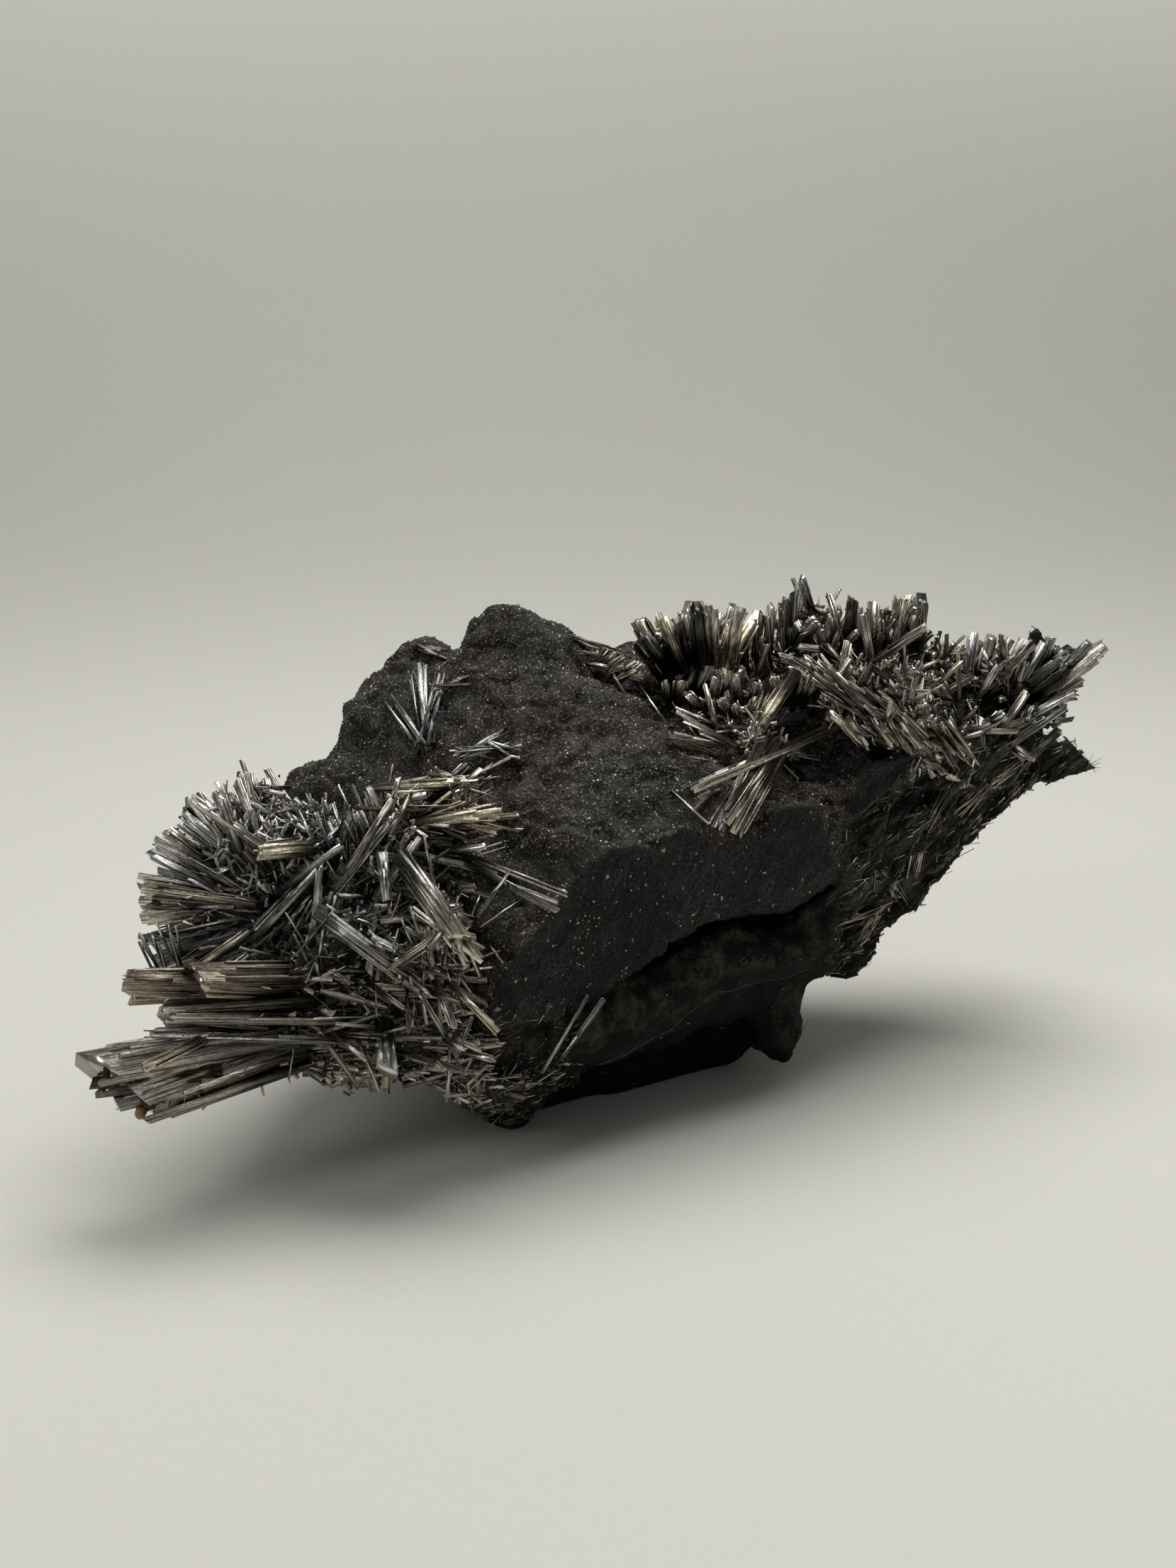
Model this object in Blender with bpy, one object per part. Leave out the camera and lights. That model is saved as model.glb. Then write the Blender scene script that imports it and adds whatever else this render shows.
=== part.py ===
"""Zinkenite specimen: a dark, drusy block of host rock with masses of metallic needle crystals on it.

The rock is a union of rough convex chunks, cleaved flat along its front. The crystal masses are
sprays of flat-faced prisms that grow out of a shared root lump, and small tufts stand on the rock.
Points are in millimetres in a working frame: +X runs along the specimen, +Y away from its cleaved
front, +Z up, with the floor at Z = 0. The last step puts the origin under the middle of the whole.
"""

import math
import random
from collections import namedtuple

import bmesh
import bpy
from mathutils import Matrix, Vector, noise

MM = 0.001
SKIN_GAP = 0.4  # left between a crystal mass and the rock it stands on

# Looks: colour, roughness and metallic.
ROCK_LOOK = ((0.035, 0.032, 0.03), 0.8, 0.0)
CRYSTAL_LOOK = ((0.34, 0.34, 0.35), 0.32, 0.9)

# The rock's working resolution, and the triangles that it keeps.
ROCK_VOXEL = 0.9
ROCK_TRIANGLES = 3200

# The cleaved front is the plane FRONT_NORMAL . p = FRONT_OFFSET.
FRONT_NORMAL = Vector((0.51, -0.86, 0.0))
FRONT_OFFSET = 16.0
FRONT_BAND = 1.6  # the rock this close to the plane stays smooth

# Each chunk of the rock is the convex hull of its corners.
ROCK_CHUNKS = {
    "dome": [
        (-11, -25, 20), (-11, -25, 18), (-1, -19, 34), (8, -14, 35), (16, -9, 36.5),
        (24.5, -4, 34), (27, -3, 25.5), (5, -15.6, 20), (-1, -19, 18.5),
        (-16, 2, 46), (-9, 6, 50), (3, 11, 46), (10, 6, 42), (-22, 8, 46), (-28, 8, 41),
        (-29, 3, 36), (-29, -4, 28), (-24, -16, 22),
        (-26, 24, 36), (-8, 30, 44), (18, 29, 42), (-26, 22, 12), (0, 33, 14), (22, 31, 18),
        (-22, -8, 12), (-10, -18, 12), (0, -12, 12), (20, 2, 14),
    ],
    "summit": [
        (-14.5, 6, 50), (-13.4, 8, 52.6), (-10.7, 8, 53.6), (-7.7, 8, 53.2), (-6.5, 8, 51),
        (-3, 10, 50.2), (-1, 11, 48.2), (-15, 14, 49), (-8, 15, 52), (-4, 2, 47), (-13, 2, 47),
    ],
    "shoulder": [
        (-20.8, 13, 48.4), (-18.5, 13, 48.8), (-15.5, 12, 46.5), (-22.7, 12, 45.6), (-26, 10, 42.6),
        (-29.2, 8, 40.8), (-29.6, 6, 37), (-28, 20, 40), (-19, 22, 45), (-20, 4, 43),
    ],
    "left_lump": [
        (-33.3, 2, 33.5), (-32.4, 3, 35), (-29, 3, 36), (-27, 0, 32), (-33, 12, 33), (-26, 12, 36),
        (-32, 2, 26), (-24, 6, 28),
    ],
    "left_block": [
        (-38, -16, 15), (-39, -10, 24), (-34, 0, 31), (-30, 8, 31), (-13, -22, 13), (-13, -22, 24),
        (-16, -16, 30), (-34, 10, 16), (-24, 16, 13), (-18, -12, 8), (-30, -8, 9), (-12, 14, 8),
    ],
    "lower_lobe": [
        (-10, -21, 13), (-7, -20, 16), (-1, -17, 17.5), (4.7, -14, 18.8), (12, -10, 20.6),
        (18, -6, 20), (26, -1, 20), (0.7, -14, 11), (12, -9, 15), (20, -4, 16),
        (-9, -18, 8.5), (-5, -10, 4), (4, -5, 5.4), (10, -5, 8), (17, -2, 10), (21, 0, 10.8),
        (27, 4, 11.7), (-14, -10, 8), (18, 14, 8), (-10, 12, 6),
    ],
    "base": [
        (-12, -6, -3), (-8, -6, -3), (-5, -2, -3), (0, 1, -3), (8, 3, -3), (15, 6, -3),
        (17, 20, -3), (-4, 24, -3), (-15, 10, -3), (-16, 0, 12), (-8, -10, 10), (6, -2, 9),
        (20, 6, 12), (20, 26, 14), (-6, 30, 14), (-20, 14, 12),
    ],
    "front_foot": [
        (-14.5, -18, 7), (-11, -9, -1), (-8, -9, -1), (-5, -14, 6), (-14, -23, 13),
        (-9, -21, 14), (-16, -8, 8), (-6, -4, 2),
    ],
    "spike": [
        (17.4, 2, 8.5), (23.7, 6, 9.5), (21.8, 4, 0.3), (19.6, 4, 1.4), (17.5, 2, 4), (17, 10, 8),
        (22, 9, 2), (27, 7, 14), (20, 0, 14),
    ],
    "right_arm": [
        (26, -2, 34), (27, -1, 22), (28, 5, 13), (28, 9, 10), (31, 10, 14.5), (34, 11, 18),
        (40.8, 14, 22), (45.8, 16, 26.4), (49, 18, 29), (33, 5, 26), (38, 8, 31), (46, 13, 36),
        (52, 21, 38), (20, 4, 41), (32, 12, 44), (46, 22, 42), (52, 30, 38), (36, 34, 42),
        (6, 30, 41), (8, 31, 16), (34, 30, 19), (48, 32, 30),
    ],
    "front_ledge": [
        (19, -5, 35.5), (24, 0, 39), (28.5, 1.5, 39), (33, 5, 34), (25.6, -3, 33.6), (23, -5, 27),
        (22, 8, 38), (32, 10, 34), (30, 2, 26),
    ],
    "fin": [
        (49, 19, 28.8), (59, 24, 30.2), (56, 24, 33.4), (53, 22, 33), (50, 32, 32), (57.5, 28, 30),
        (46, 24, 28), (46, 20, 34),
    ],
}

# The crack between the cleaved front and the lobe below it: points along its mouth, and its size.
CRACK_MOUTH = [
    (3.5, -16.5, 19.2), (8, -13.9, 22.4), (11.7, -11.7, 23), (16, -9, 23), (21, -6, 22.6), (27, -2.6, 23.4),
]
CRACK_WIDTHS = [0.5, 1.8, 1.9, 2.0, 1.4, 0.5]
CRACK_DEPTH = 7.0


# The crystals. A column is one crystal or a tight bundle: root, tip and width across.
Column = namedtuple("Column", "root tip width")
# A fan spreads its crystals evenly over an arc about its axis, half of the arc to each side of
# where it points, and leans them along the axis. Lean, length and width are ranges.
Fan = namedtuple("Fan", "centre toward axis arc count lean length width")
# A spray turns its crystals out at random, up to its spread from where it points.
Spray = namedtuple("Spray", "centre toward spread count length width")
# A mass is what grows out of shared root lumps, which are hulls of their corners.
Mass = namedtuple("Mass", "roots columns fans sprays seed")

LEFT_MASS = Mass(
    roots=[
        [
            (-33, -20, 12), (-33, -24, 22), (-29, -25, 14), (-22, -23, 11), (-20, -8, 9), (-24, -23, 25),
            (-21, -25, 18), (-32, -10, 26), (-20, -12, 30),
        ],
        [
            (-23, -23, 14), (-12, -24, 10), (-10, -22, 16), (-14, -24, 20), (-21, -22, 21), (-13, -12, 9),
            (-12, -14, 20), (-23, -12, 18),
        ],
        [
            (-25, -22, 22), (-13, -23, 20), (-12, -22, 26), (-16, -20, 32), (-22, -17, 33), (-25, -10, 33),
            (-20, -8, 24), (-18, -24, 26),
        ],
        [
            (-41, -19, 22), (-42, -19, 30), (-38, -18, 36), (-33, -17, 38), (-28, -17, 36), (-28, -19, 20),
            (-39, -7, 22), (-39, -7, 31), (-34, -6, 36), (-27, -8, 36), (-27, -7, 20),
        ],
        [(-16, -24, 12), (-12, -21, 7), (-8, -20, 6), (-6, -20, 10), (-9, -22.5, 12), (-13, -12, 9)],
        [
            (-24, -8, 32), (-20, -18, 34), (-14, -14, 38), (-22, -4, 37), (-12, -16, 34), (-16, -4, 38),
            (-18, -21, 29), (-23, -17, 28), (-13, -19, 30),
        ],
    ],
    columns=[
        Column((-28, -24, 23), (-44.6, -31, 25.4), 2.6), Column((-28, -22, 21.6), (-44.4, -31, 23.8), 2.2),
        Column((-22, -22, 17), (-42.8, -31, 20.6), 1.6), Column((-31, -23, 17), (-48.2, -33, 17.4), 5.0),
        Column((-30, -22, 15), (-44.2, -34, 14.4), 5.0), Column((-30, -20, 27), (-26.6, -23, 34.8), 1.3),
        Column((-18, -18, 31), (-12.9, -28, 28.4), 3.4), Column((-26, -21, 30), (-16.5, -27.5, 23), 2.2),
        Column((-13, -21, 30), (-21, -27.5, 25), 1.5), Column((-21, -21, 18.4), (-19.6, -31.5, 17.5), 2.2),
        Column((-24, -14, 33), (-33, -22, 35.4), 1.8), Column((-20, -12, 36), (-11.4, -15, 41.4), 1.5),
        Column((-18, -14, 35), (-8.6, -20, 39.4), 1.6), Column((-16, -16, 34), (-10.4, -23, 36.6), 1.3),
        Column((-15, -16, 34.6), (-2.4, -22, 31.6), 1.0), Column((-15, -16, 33.6), (-3.2, -24.4, 30.6), 1.0),
        Column((-10, -21, 8), (-0.5, -21.5, 17), 1.6),
    ],
    fans=[
        Fan((-31, -19, 28.5), (-9, 0, 3.6), (0.2, -0.9, 0.3), 2.2, 13, (-0.1, 0.2), (14, 15.4), (1.8, 2.8)),
        Fan((-30.5, -14, 28), (-8, 0, 6), (0.1, -0.9, 0.3), 1.9, 12, (-0.1, 0.2), (12, 14), (1.8, 2.8)),
        Fan((-29, -8, 28.6), (-9, 0, 5), (0.1, -0.9, 0.2), 1.7, 8, (-0.6, 0), (11, 13), (1.8, 2.8)),
        Fan((-22.5, -21, 25), (0, 0, 1), (-0.1, -0.95, 0.2), 6.0, 13, (0.3, 0.8), (7, 10), (1.2, 2.4)),
        Fan((-16, -22.5, 17), (0, 0, 1), (0, -0.95, -0.1), 6.0, 8, (0.2, 0.6), (6, 8), (1.4, 2.4)),
        Fan((-27, -23, 16), (0, 0, 1), (0, -0.95, -0.1), 6.0, 7, (0.2, 0.6), (6, 8), (1.4, 2.4)),
        Fan((-17, -13, 34), (0, 0, 1), (0.2, -0.7, 0.7), 5.6, 14, (0.2, 0.8), (7, 10.5), (1.2, 2.2)),
    ],
    sprays=[
        Spray((-21, -18, 15.5), (-0.2, -0.7, -0.7), 0.9, 8, (6, 8), (1.4, 2.8)),
        Spray((-10, -18, 11), (-0.2, -0.8, -0.4), 0.9, 7, (5, 7), (1.2, 2.0)),
        Spray((-31, -11, 28), (-0.7, 0.6, 0.3), 0.9, 7, (8, 11), (1.8, 3.0)),
    ],
    seed=11,
)

RIGHT_MASS = Mass(
    roots=[
        [
            (9, 10, 38), (12, 12, 45), (22, 18, 47), (34, 18, 46), (44, 20, 42), (49, 22, 39), (47, 18, 35),
            (36, 12, 34), (14, 22, 42), (28, 27, 43), (44, 28, 40), (50, 26, 38), (18, 8, 38), (28, 8, 37),
        ],
        [(37, 4, 35.5), (33, 3, 38.5), (21, 7, 45.5), (28, 8, 47), (38, 12, 44), (30, 16, 42), (40, 14, 36)],
        [(10, 2, 41), (9, 10, 42), (19, 3, 40), (16, -1, 37.5), (24, 2, 38), (14, 12, 38), (26, 10, 38)],
    ],
    columns=[
        Column((16, 5, 39), (8.2, 0, 44.4), 1.2), Column((16, 4, 40), (8.1, -4, 42), 1.2),
        Column((24.5, 4, 42), (9.3, -9.4, 39), 1.2), Column((18, 3, 41), (13.2, -10.4, 36.4), 1.4),
        Column((21, 8, 45.4), (15.4, -2.6, 39.4), 2.2), Column((27, 18, 45), (26.5, 17, 51.8), 1.6),
        Column((31, 19, 45), (31, 18, 52.2), 1.3), Column((36.6, 20, 43), (33, 17, 50.4), 1.3),
        Column((43, 20, 41), (51.7, 22, 48.4), 2.0), Column((46, 20, 38), (46.6, 20, 47.4), 1.4),
        Column((22, 19, 44), (23.5, 20, 53.8), 2.6), Column((40, 12, 36), (41, 7, 40), 1.6),
    ],
    fans=[
        Fan((11.5, 11, 40), (-0.08, 0, 1), (0.1, -0.97, 0.2), 1.3, 9, (-0.1, 0.2), (11.5, 12.8), (1.8, 2.8)),
        Fan((13, 16, 40), (-0.1, 0, 1), (0.1, -0.97, 0.2), 1.4, 7, (-0.2, 0.1), (10, 12.5), (1.8, 2.8)),
        Fan((37, 5, 35.5), (-0.7, 0.1, 0.7), (0.5, -0.8, 0.4), 0.9, 9, (-0.1, 0.2), (13, 17), (1.5, 2.2)),
        Fan((45, 22, 37), (0.85, 0.2, 0.45), (0.2, -0.9, 0.1), 1.3, 9, (-0.2, 0.2), (12, 16), (1.8, 3.0)),
    ],
    sprays=[
        Spray((25, 17, 42), (0, -0.1, 1), 0.8, 13, (8, 10.5), (1.4, 3.0)),
        Spray((38, 19, 38), (0.2, -0.1, 1), 0.9, 13, (8, 11), (1.4, 3.0)),
        Spray((22, 22, 40), (-0.2, 0.7, 0.7), 0.9, 8, (7, 9), (1.6, 3.0)),
        Spray((40, 25, 38), (0.1, 0.7, 0.7), 0.9, 8, (7, 9), (1.6, 3.0)),
    ],
    seed=23,
)

# Tufts stand on the rock itself. Their points are counted from the spot where they are seated.
TUFTS = {
    "shoulder_tuft": ((-18.5, 41.5), [
        Column((0, 1, -1), (0.2, 0.5, 6.6), 1.0), Column((-0.4, 1, -1), (-3.6, -1.4, 2.6), 1.1),
        Column((0.4, 1, -1), (3.2, 0, 5.4), 0.9), Column((0, 1, -1), (-1.4, -0.4, 5.6), 0.9),
        Column((0, 1, 0), (-2.6, -1.6, 4.4), 0.8), Column((0.5, 1, 0), (1.6, -1.8, 4.2), 0.8),
    ]),
    "slope_tuft": ((-11.5, 42), [
        Column((0, 1, -1), (3.4, -1.6, 2.4), 0.9), Column((0, 1, -0.5), (3.8, -2.6, -0.6), 0.9),
        Column((0, 1, -0.5), (-3.4, -2.2, -0.6), 1.0), Column((0, 1, -1), (1.2, -2.4, 2.2), 0.8),
    ]),
    "ridge_tuft": ((-1.5, 46.5), [
        Column((0, 1.5, -1), (-3.6, 0.4, 2.2), 1.2), Column((0, 1.5, -1), (3.6, -1.4, 1.0), 1.2),
        Column((0, 1.5, -0.5), (1.6, -2.6, -0.4), 1.0), Column((0.4, 1.5, -1), (3.0, 0.6, 2.4), 1.0),
        Column((0, 1.5, -1), (-1.0, -1.8, 1.4), 0.9),
    ]),
}
TUFT_ROOT_SIZE = 3.4


def clear_scene():
    for obj in list(bpy.data.objects):
        bpy.data.objects.remove(obj)


def link(name, mesh):
    obj = bpy.data.objects.new(name, mesh)
    bpy.context.scene.collection.objects.link(obj)
    return obj


def mesh_of(bm, name):
    mesh = bpy.data.meshes.new(name)
    bm.to_mesh(mesh)
    bm.free()
    return mesh


def add_hull(bm, corners):
    """Adds the convex hull of these corners, in millimetres, to bm."""
    made = [bm.verts.new(Vector(c) * MM) for c in corners]
    hull = bmesh.ops.convex_hull(bm, input=made)
    loose = [v for v in hull["geom_interior"] if isinstance(v, bmesh.types.BMVert)]
    bmesh.ops.delete(bm, geom=loose, context="VERTS")


def settle(obj):
    """Replaces the object's mesh by what its modifiers make of it."""
    graph = bpy.context.evaluated_depsgraph_get()
    mesh = bpy.data.meshes.new_from_object(obj.evaluated_get(graph))
    obj.modifiers.clear()
    obj.data = mesh


def remesh(obj, voxel):
    step = obj.modifiers.new("Remesh", "REMESH")
    step.mode = "VOXEL"
    step.voxel_size = voxel * MM
    settle(obj)


def decimate(obj, triangles):
    count = sum(len(p.vertices) - 2 for p in obj.data.polygons)
    step = obj.modifiers.new("Decimate", "DECIMATE")
    step.ratio = triangles / count
    step.use_collapse_triangulate = True
    settle(obj)


def boolean(obj, other, operation, self_overlap=False):
    step = obj.modifiers.new("Boolean", "BOOLEAN")
    step.operation = operation
    step.object = other
    step.solver = "EXACT"
    step.use_self = self_overlap
    settle(obj)


def front_smoothness(point):
    """1 on the cleaved front, falling to 0 away from it."""
    away = abs(FRONT_NORMAL.dot(point) - FRONT_OFFSET)
    return max(0.0, 1.0 - away / FRONT_BAND)


def rock_relief(point):
    """How far the rock stands proud of its chunks at a point, in millimetres."""
    lumps = noise.fractal(point / 9.0, 0.9, 2.1, 3)
    grain = noise.fractal(point / 3.2 + Vector((7, 3, 5)), 1.0, 2.0, 2)
    ledges = abs(noise.noise(Vector((point.x / 14, point.y / 9, point.z / 4))))
    return 1.1 * lumps + 0.55 * grain - 0.9 * ledges


def roughen(obj):
    mesh = obj.data
    normals = [v.normal.copy() for v in mesh.vertices]
    for vertex, normal in zip(mesh.vertices, normals):
        point = vertex.co / MM
        relief = rock_relief(point) * (1.0 - 0.92 * front_smoothness(point))
        vertex.co = vertex.co + normal * relief * MM


def cut_crack(rock):
    """Takes a wedge out of the rock behind the crack's mouth."""
    inward = -FRONT_NORMAL.normalized()
    bm = bmesh.new()
    rings = []
    for point, width in zip(CRACK_MOUTH, CRACK_WIDTHS):
        mouth, back = Vector(point) - inward * 3.0, Vector(point) + inward * CRACK_DEPTH
        half = Vector((0, 0, width / 2))
        corners = (mouth + half * 1.3, mouth - half * 1.3, back - half * 0.3, back + half * 0.3)
        rings.append([bm.verts.new(c * MM) for c in corners])
    for ring, following in zip(rings, rings[1:]):
        for i in range(4):
            j = (i + 1) % 4
            bm.faces.new((ring[i], ring[j], following[j], following[i]))
    bm.faces.new(rings[0][::-1])
    bm.faces.new(rings[-1])
    bm.normal_update()
    bmesh.ops.recalc_face_normals(bm, faces=bm.faces)
    cutter = link("crack_cutter", mesh_of(bm, "crack_cutter"))
    boolean(rock, cutter, "DIFFERENCE")
    bpy.data.objects.remove(cutter)


def cut_flat_base(obj):
    """Cuts the object off at Z = 0, which leaves the flat face that it rests on."""
    bm = bmesh.new()
    bm.from_mesh(obj.data)
    geometry = bm.verts[:] + bm.edges[:] + bm.faces[:]
    cut = bmesh.ops.bisect_plane(bm, geom=geometry, plane_co=(0, 0, 0), plane_no=(0, 0, -1), clear_outer=True)
    rim = [e for e in cut["geom_cut"] if isinstance(e, bmesh.types.BMEdge)]
    bmesh.ops.contextual_create(bm, geom=rim)
    bmesh.ops.triangulate(bm, faces=bm.faces)
    bm.to_mesh(obj.data)
    bm.free()


def make_rock():
    bm = bmesh.new()
    for corners in ROCK_CHUNKS.values():
        add_hull(bm, corners)
    rock = link("matrix", mesh_of(bm, "matrix"))
    remesh(rock, ROCK_VOXEL)
    roughen(rock)
    remesh(rock, ROCK_VOXEL)  # folds that the roughening made are healed
    decimate(rock, ROCK_TRIANGLES)
    cut_crack(rock)
    cut_flat_base(rock)
    return rock


def add_prism(bm, column, rng, sides=4):
    """Adds one crystal to bm: a flattened prism with a slanting end."""
    root, tip = Vector(column.root), Vector(column.tip)
    along = (tip - root).normalized()
    across = along.orthogonal().normalized()
    across.rotate(Matrix.Rotation(rng.uniform(0, math.tau), 3, along))
    beside = along.cross(across)
    half_width = column.width / 2
    half_depth = half_width * rng.uniform(0.6, 0.95)
    slant = rng.uniform(-0.7, 0.7)
    rings = []
    for end, is_tip in ((root, False), (tip, True)):
        ring = []
        for i in range(sides):
            turn = math.tau * (i + 0.5) / sides
            out = math.cos(turn) * half_width
            offset = across * out + beside * (math.sin(turn) * half_depth)
            point = end + offset - along * (abs(slant) * half_width - slant * out if is_tip else 0.0)
            ring.append(bm.verts.new(point * MM))
        rings.append(ring)
    low, high = rings
    for i in range(sides):
        j = (i + 1) % sides
        bm.faces.new((low[i], low[j], high[j], high[i]))
    bm.faces.new(low[::-1])
    bm.faces.new(high)


def column_out(centre, way, source, rng):
    """A crystal that starts a little out from a centre."""
    tip = centre + way * rng.uniform(*source.length)
    return Column(centre + way, tip, rng.uniform(*source.width))


def fan_columns(fan, rng):
    """The crystals of a fan, turned by even steps about its axis."""
    toward, axis = Vector(fan.toward).normalized(), Vector(fan.axis).normalized()
    columns = []
    for i in range(fan.count):
        turn = fan.arc * ((i + rng.uniform(0.2, 0.8)) / fan.count - 0.5)
        way = Matrix.Rotation(turn, 3, axis) @ toward + axis * rng.uniform(*fan.lean)
        columns.append(column_out(Vector(fan.centre), way.normalized(), fan, rng))
    return columns


def random_direction(rng):
    while True:
        v = Vector((rng.uniform(-1, 1), rng.uniform(-1, 1), rng.uniform(-1, 1)))
        if 0.1 < v.length < 1:
            return v.normalized()


def spray_columns(spray, rng):
    """The crystals of a spray, turned out at random from where it points."""
    toward = Vector(spray.toward).normalized()
    columns = []
    for _ in range(spray.count):
        way = toward + random_direction(rng) * spray.spread * math.sqrt(rng.random())
        columns.append(column_out(Vector(spray.centre), way.normalized(), spray, rng))
    return columns


def keep_largest_body(obj):
    """Drops the chips that a cut has parted from the main body."""
    bm = bmesh.new()
    bm.from_mesh(obj.data)
    left = set(bm.verts)
    bodies = []
    while left:
        body, edge = set(), [left.pop()]
        while edge:
            vertex = edge.pop()
            body.add(vertex)
            near = {e.other_vert(vertex) for e in vertex.link_edges} & left
            left -= near
            edge.extend(near)
        bodies.append(body)
    bodies.sort(key=len)
    chips = [v for body in bodies[:-1] for v in body]
    bmesh.ops.delete(bm, geom=chips, context="VERTS")
    bm.to_mesh(obj.data)
    bm.free()


def rock_skin(rock):
    """The rock grown by the gap that every crystal mass keeps to it."""
    skin = link("rock_skin", rock.data.copy())
    step = skin.modifiers.new("Displace", "DISPLACE")
    step.strength = SKIN_GAP * MM
    step.mid_level = 0.0
    settle(skin)
    return skin


def make_mass(name, roots, columns, skin, rng):
    """Fuses root lumps and crystals into one solid, cut to stand just clear of the rock."""
    crystals = bmesh.new()
    for column in columns:
        add_prism(crystals, column, rng)
    mass = link(name, mesh_of(crystals, name))
    lumps = bmesh.new()
    for corners in roots:
        add_hull(lumps, corners)
    core = link("core", mesh_of(lumps, "core"))
    boolean(mass, core, "UNION", self_overlap=True)
    boolean(mass, skin, "DIFFERENCE", self_overlap=True)
    keep_largest_body(mass)
    bpy.data.objects.remove(core)
    return mass


def make_grown_mass(name, mass, skin):
    rng = random.Random(mass.seed)
    columns = list(mass.columns)
    for fan in mass.fans:
        columns += fan_columns(fan, rng)
    for spray in mass.sprays:
        columns += spray_columns(spray, rng)
    return make_mass(name, mass.roots, columns, skin, rng)


def make_tuft(name, place, columns, rock, skin):
    """Seats a tuft where a line along +Y at (x, z) meets the rock."""
    x, z = place
    hit, seat, _, _ = rock.ray_cast(Vector((x, -100, z)) * MM, Vector((0, 1, 0)))
    if not hit:
        raise ValueError(f"{name} has no rock behind it")
    seat = seat / MM
    rng = random.Random(name)
    half = TUFT_ROOT_SIZE / 2
    lump = [seat + half * Vector((sx, sy, sz)) for sx in (-1, 1) for sy in (-0.7, 1) for sz in (-0.8, 0.8)]
    moved = [Column(seat + Vector(c.root), seat + Vector(c.tip), c.width) for c in columns]
    return make_mass(name, [lump], moved, skin, rng)


def add_material(obj, look):
    colour, roughness, metallic = look
    material = bpy.data.materials.new(obj.name)
    material.use_nodes = True
    shader = material.node_tree.nodes["Principled BSDF"]
    shader.inputs["Base Color"].default_value = (*colour, 1.0)
    shader.inputs["Roughness"].default_value = roughness
    shader.inputs["Metallic"].default_value = metallic
    obj.data.materials.clear()
    obj.data.materials.append(material)


def centre_on_floor(objects):
    """Moves everything so that the origin is under the middle of the whole, on the floor."""
    points = [v.co for obj in objects for v in obj.data.vertices]
    low = [min(p[i] for p in points) for i in range(3)]
    high = [max(p[i] for p in points) for i in range(3)]
    middle = Vector(((low[0] + high[0]) / 2, (low[1] + high[1]) / 2, low[2]))
    for obj in objects:
        obj.data.transform(Matrix.Translation(-middle))


def main():
    clear_scene()
    rock = make_rock()
    skin = rock_skin(rock)
    crystals = [
        make_grown_mass("left_crystals", LEFT_MASS, skin),
        make_grown_mass("right_crystals", RIGHT_MASS, skin),
    ]
    for name, (place, columns) in TUFTS.items():
        crystals.append(make_tuft(name, place, columns, rock, skin))
    bpy.data.objects.remove(skin)
    add_material(rock, ROCK_LOOK)
    for obj in crystals:
        add_material(obj, CRYSTAL_LOOK)
    centre_on_floor([rock, *crystals])


main()
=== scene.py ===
"""Looks of the zinkenite specimen: its rock skin, its needles, its stage, lights and camera.

Points are in millimetres in the working frame of the part's source. The frame's own origin is at
ORIGIN in it, and every mesh is moved to the frame's metres as it is made.
"""

import math
from collections import namedtuple

import bmesh
import bpy
import numpy as np
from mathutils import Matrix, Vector, noise
from mathutils.bvhtree import BVHTree


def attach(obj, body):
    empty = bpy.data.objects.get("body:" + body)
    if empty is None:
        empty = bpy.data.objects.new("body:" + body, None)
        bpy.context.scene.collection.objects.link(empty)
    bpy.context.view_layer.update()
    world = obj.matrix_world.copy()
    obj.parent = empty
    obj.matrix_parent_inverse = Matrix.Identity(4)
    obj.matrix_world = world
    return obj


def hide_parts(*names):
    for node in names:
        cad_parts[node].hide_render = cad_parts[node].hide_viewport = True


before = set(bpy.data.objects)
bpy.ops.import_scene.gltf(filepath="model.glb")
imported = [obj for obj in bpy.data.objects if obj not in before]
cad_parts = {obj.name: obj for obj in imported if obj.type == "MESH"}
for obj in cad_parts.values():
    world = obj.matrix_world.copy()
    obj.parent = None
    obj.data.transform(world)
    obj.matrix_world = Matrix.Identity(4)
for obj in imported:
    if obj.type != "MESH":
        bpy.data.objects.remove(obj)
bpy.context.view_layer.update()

MM = 0.001
ORIGIN = np.array([5.83, -0.659, 0.0])  # the frame's origin in the working frame, in mm

FLOOR_GAP = 0.02  # how far crystals stay over the floor

HUE_SCATTER = 0.1  # how far the hues of a row's or a fan's blades stray
ROOT_SHADE = 0.55  # the shade of a crystal's root, where its tip's is 1: painted shade deep in the mass, with some dust

# Where each piece's random draws start.
SEEDS = {"druse": 5, "fibres": 6, "left": 7, "right": 8, "tufts": 31, "crust": 41}

# The camera, in the working frame: a portrait picture this many pixels wide and high.
PICTURE = (1659, 2212)
FOCAL_PIXELS = 3072
CAMERA_PLACE = (-0.8, -222.5, 103.7)
CAMERA_DOWN = math.radians(17)
SENSOR_WIDTH = 36.0  # its lens is worked out from this and FOCAL_PIXELS
NEAREST_SHOWN = 0.01  # in m

# The cleaved front of the rock is the plane FRONT_NORMAL . p = FRONT_OFFSET.
FRONT_NORMAL = np.array([0.51, -0.86, 0.0])
FRONT_OFFSET = 16.0

STREAK_WAY = (0.43, 0.26, 0.87)  # how the cleaved front is brushed
FIBRE_WAY = (0.72, 0.28, 0.63)  # how the fibres of the right-hand flank lie

TONES = (0.25, 1.0)  # how dark and how bright crystals are, from 0 to 1
Column = namedtuple("Column", "root tip width hue")
Row = namedtuple("Row", "start end way count length width hue scatter tones", defaults=[0.1, TONES])
Fan = namedtuple(
    "Fan", "centre toward axis arc count lean length width hue tones hairs", defaults=[TONES, 3],
)

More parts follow.
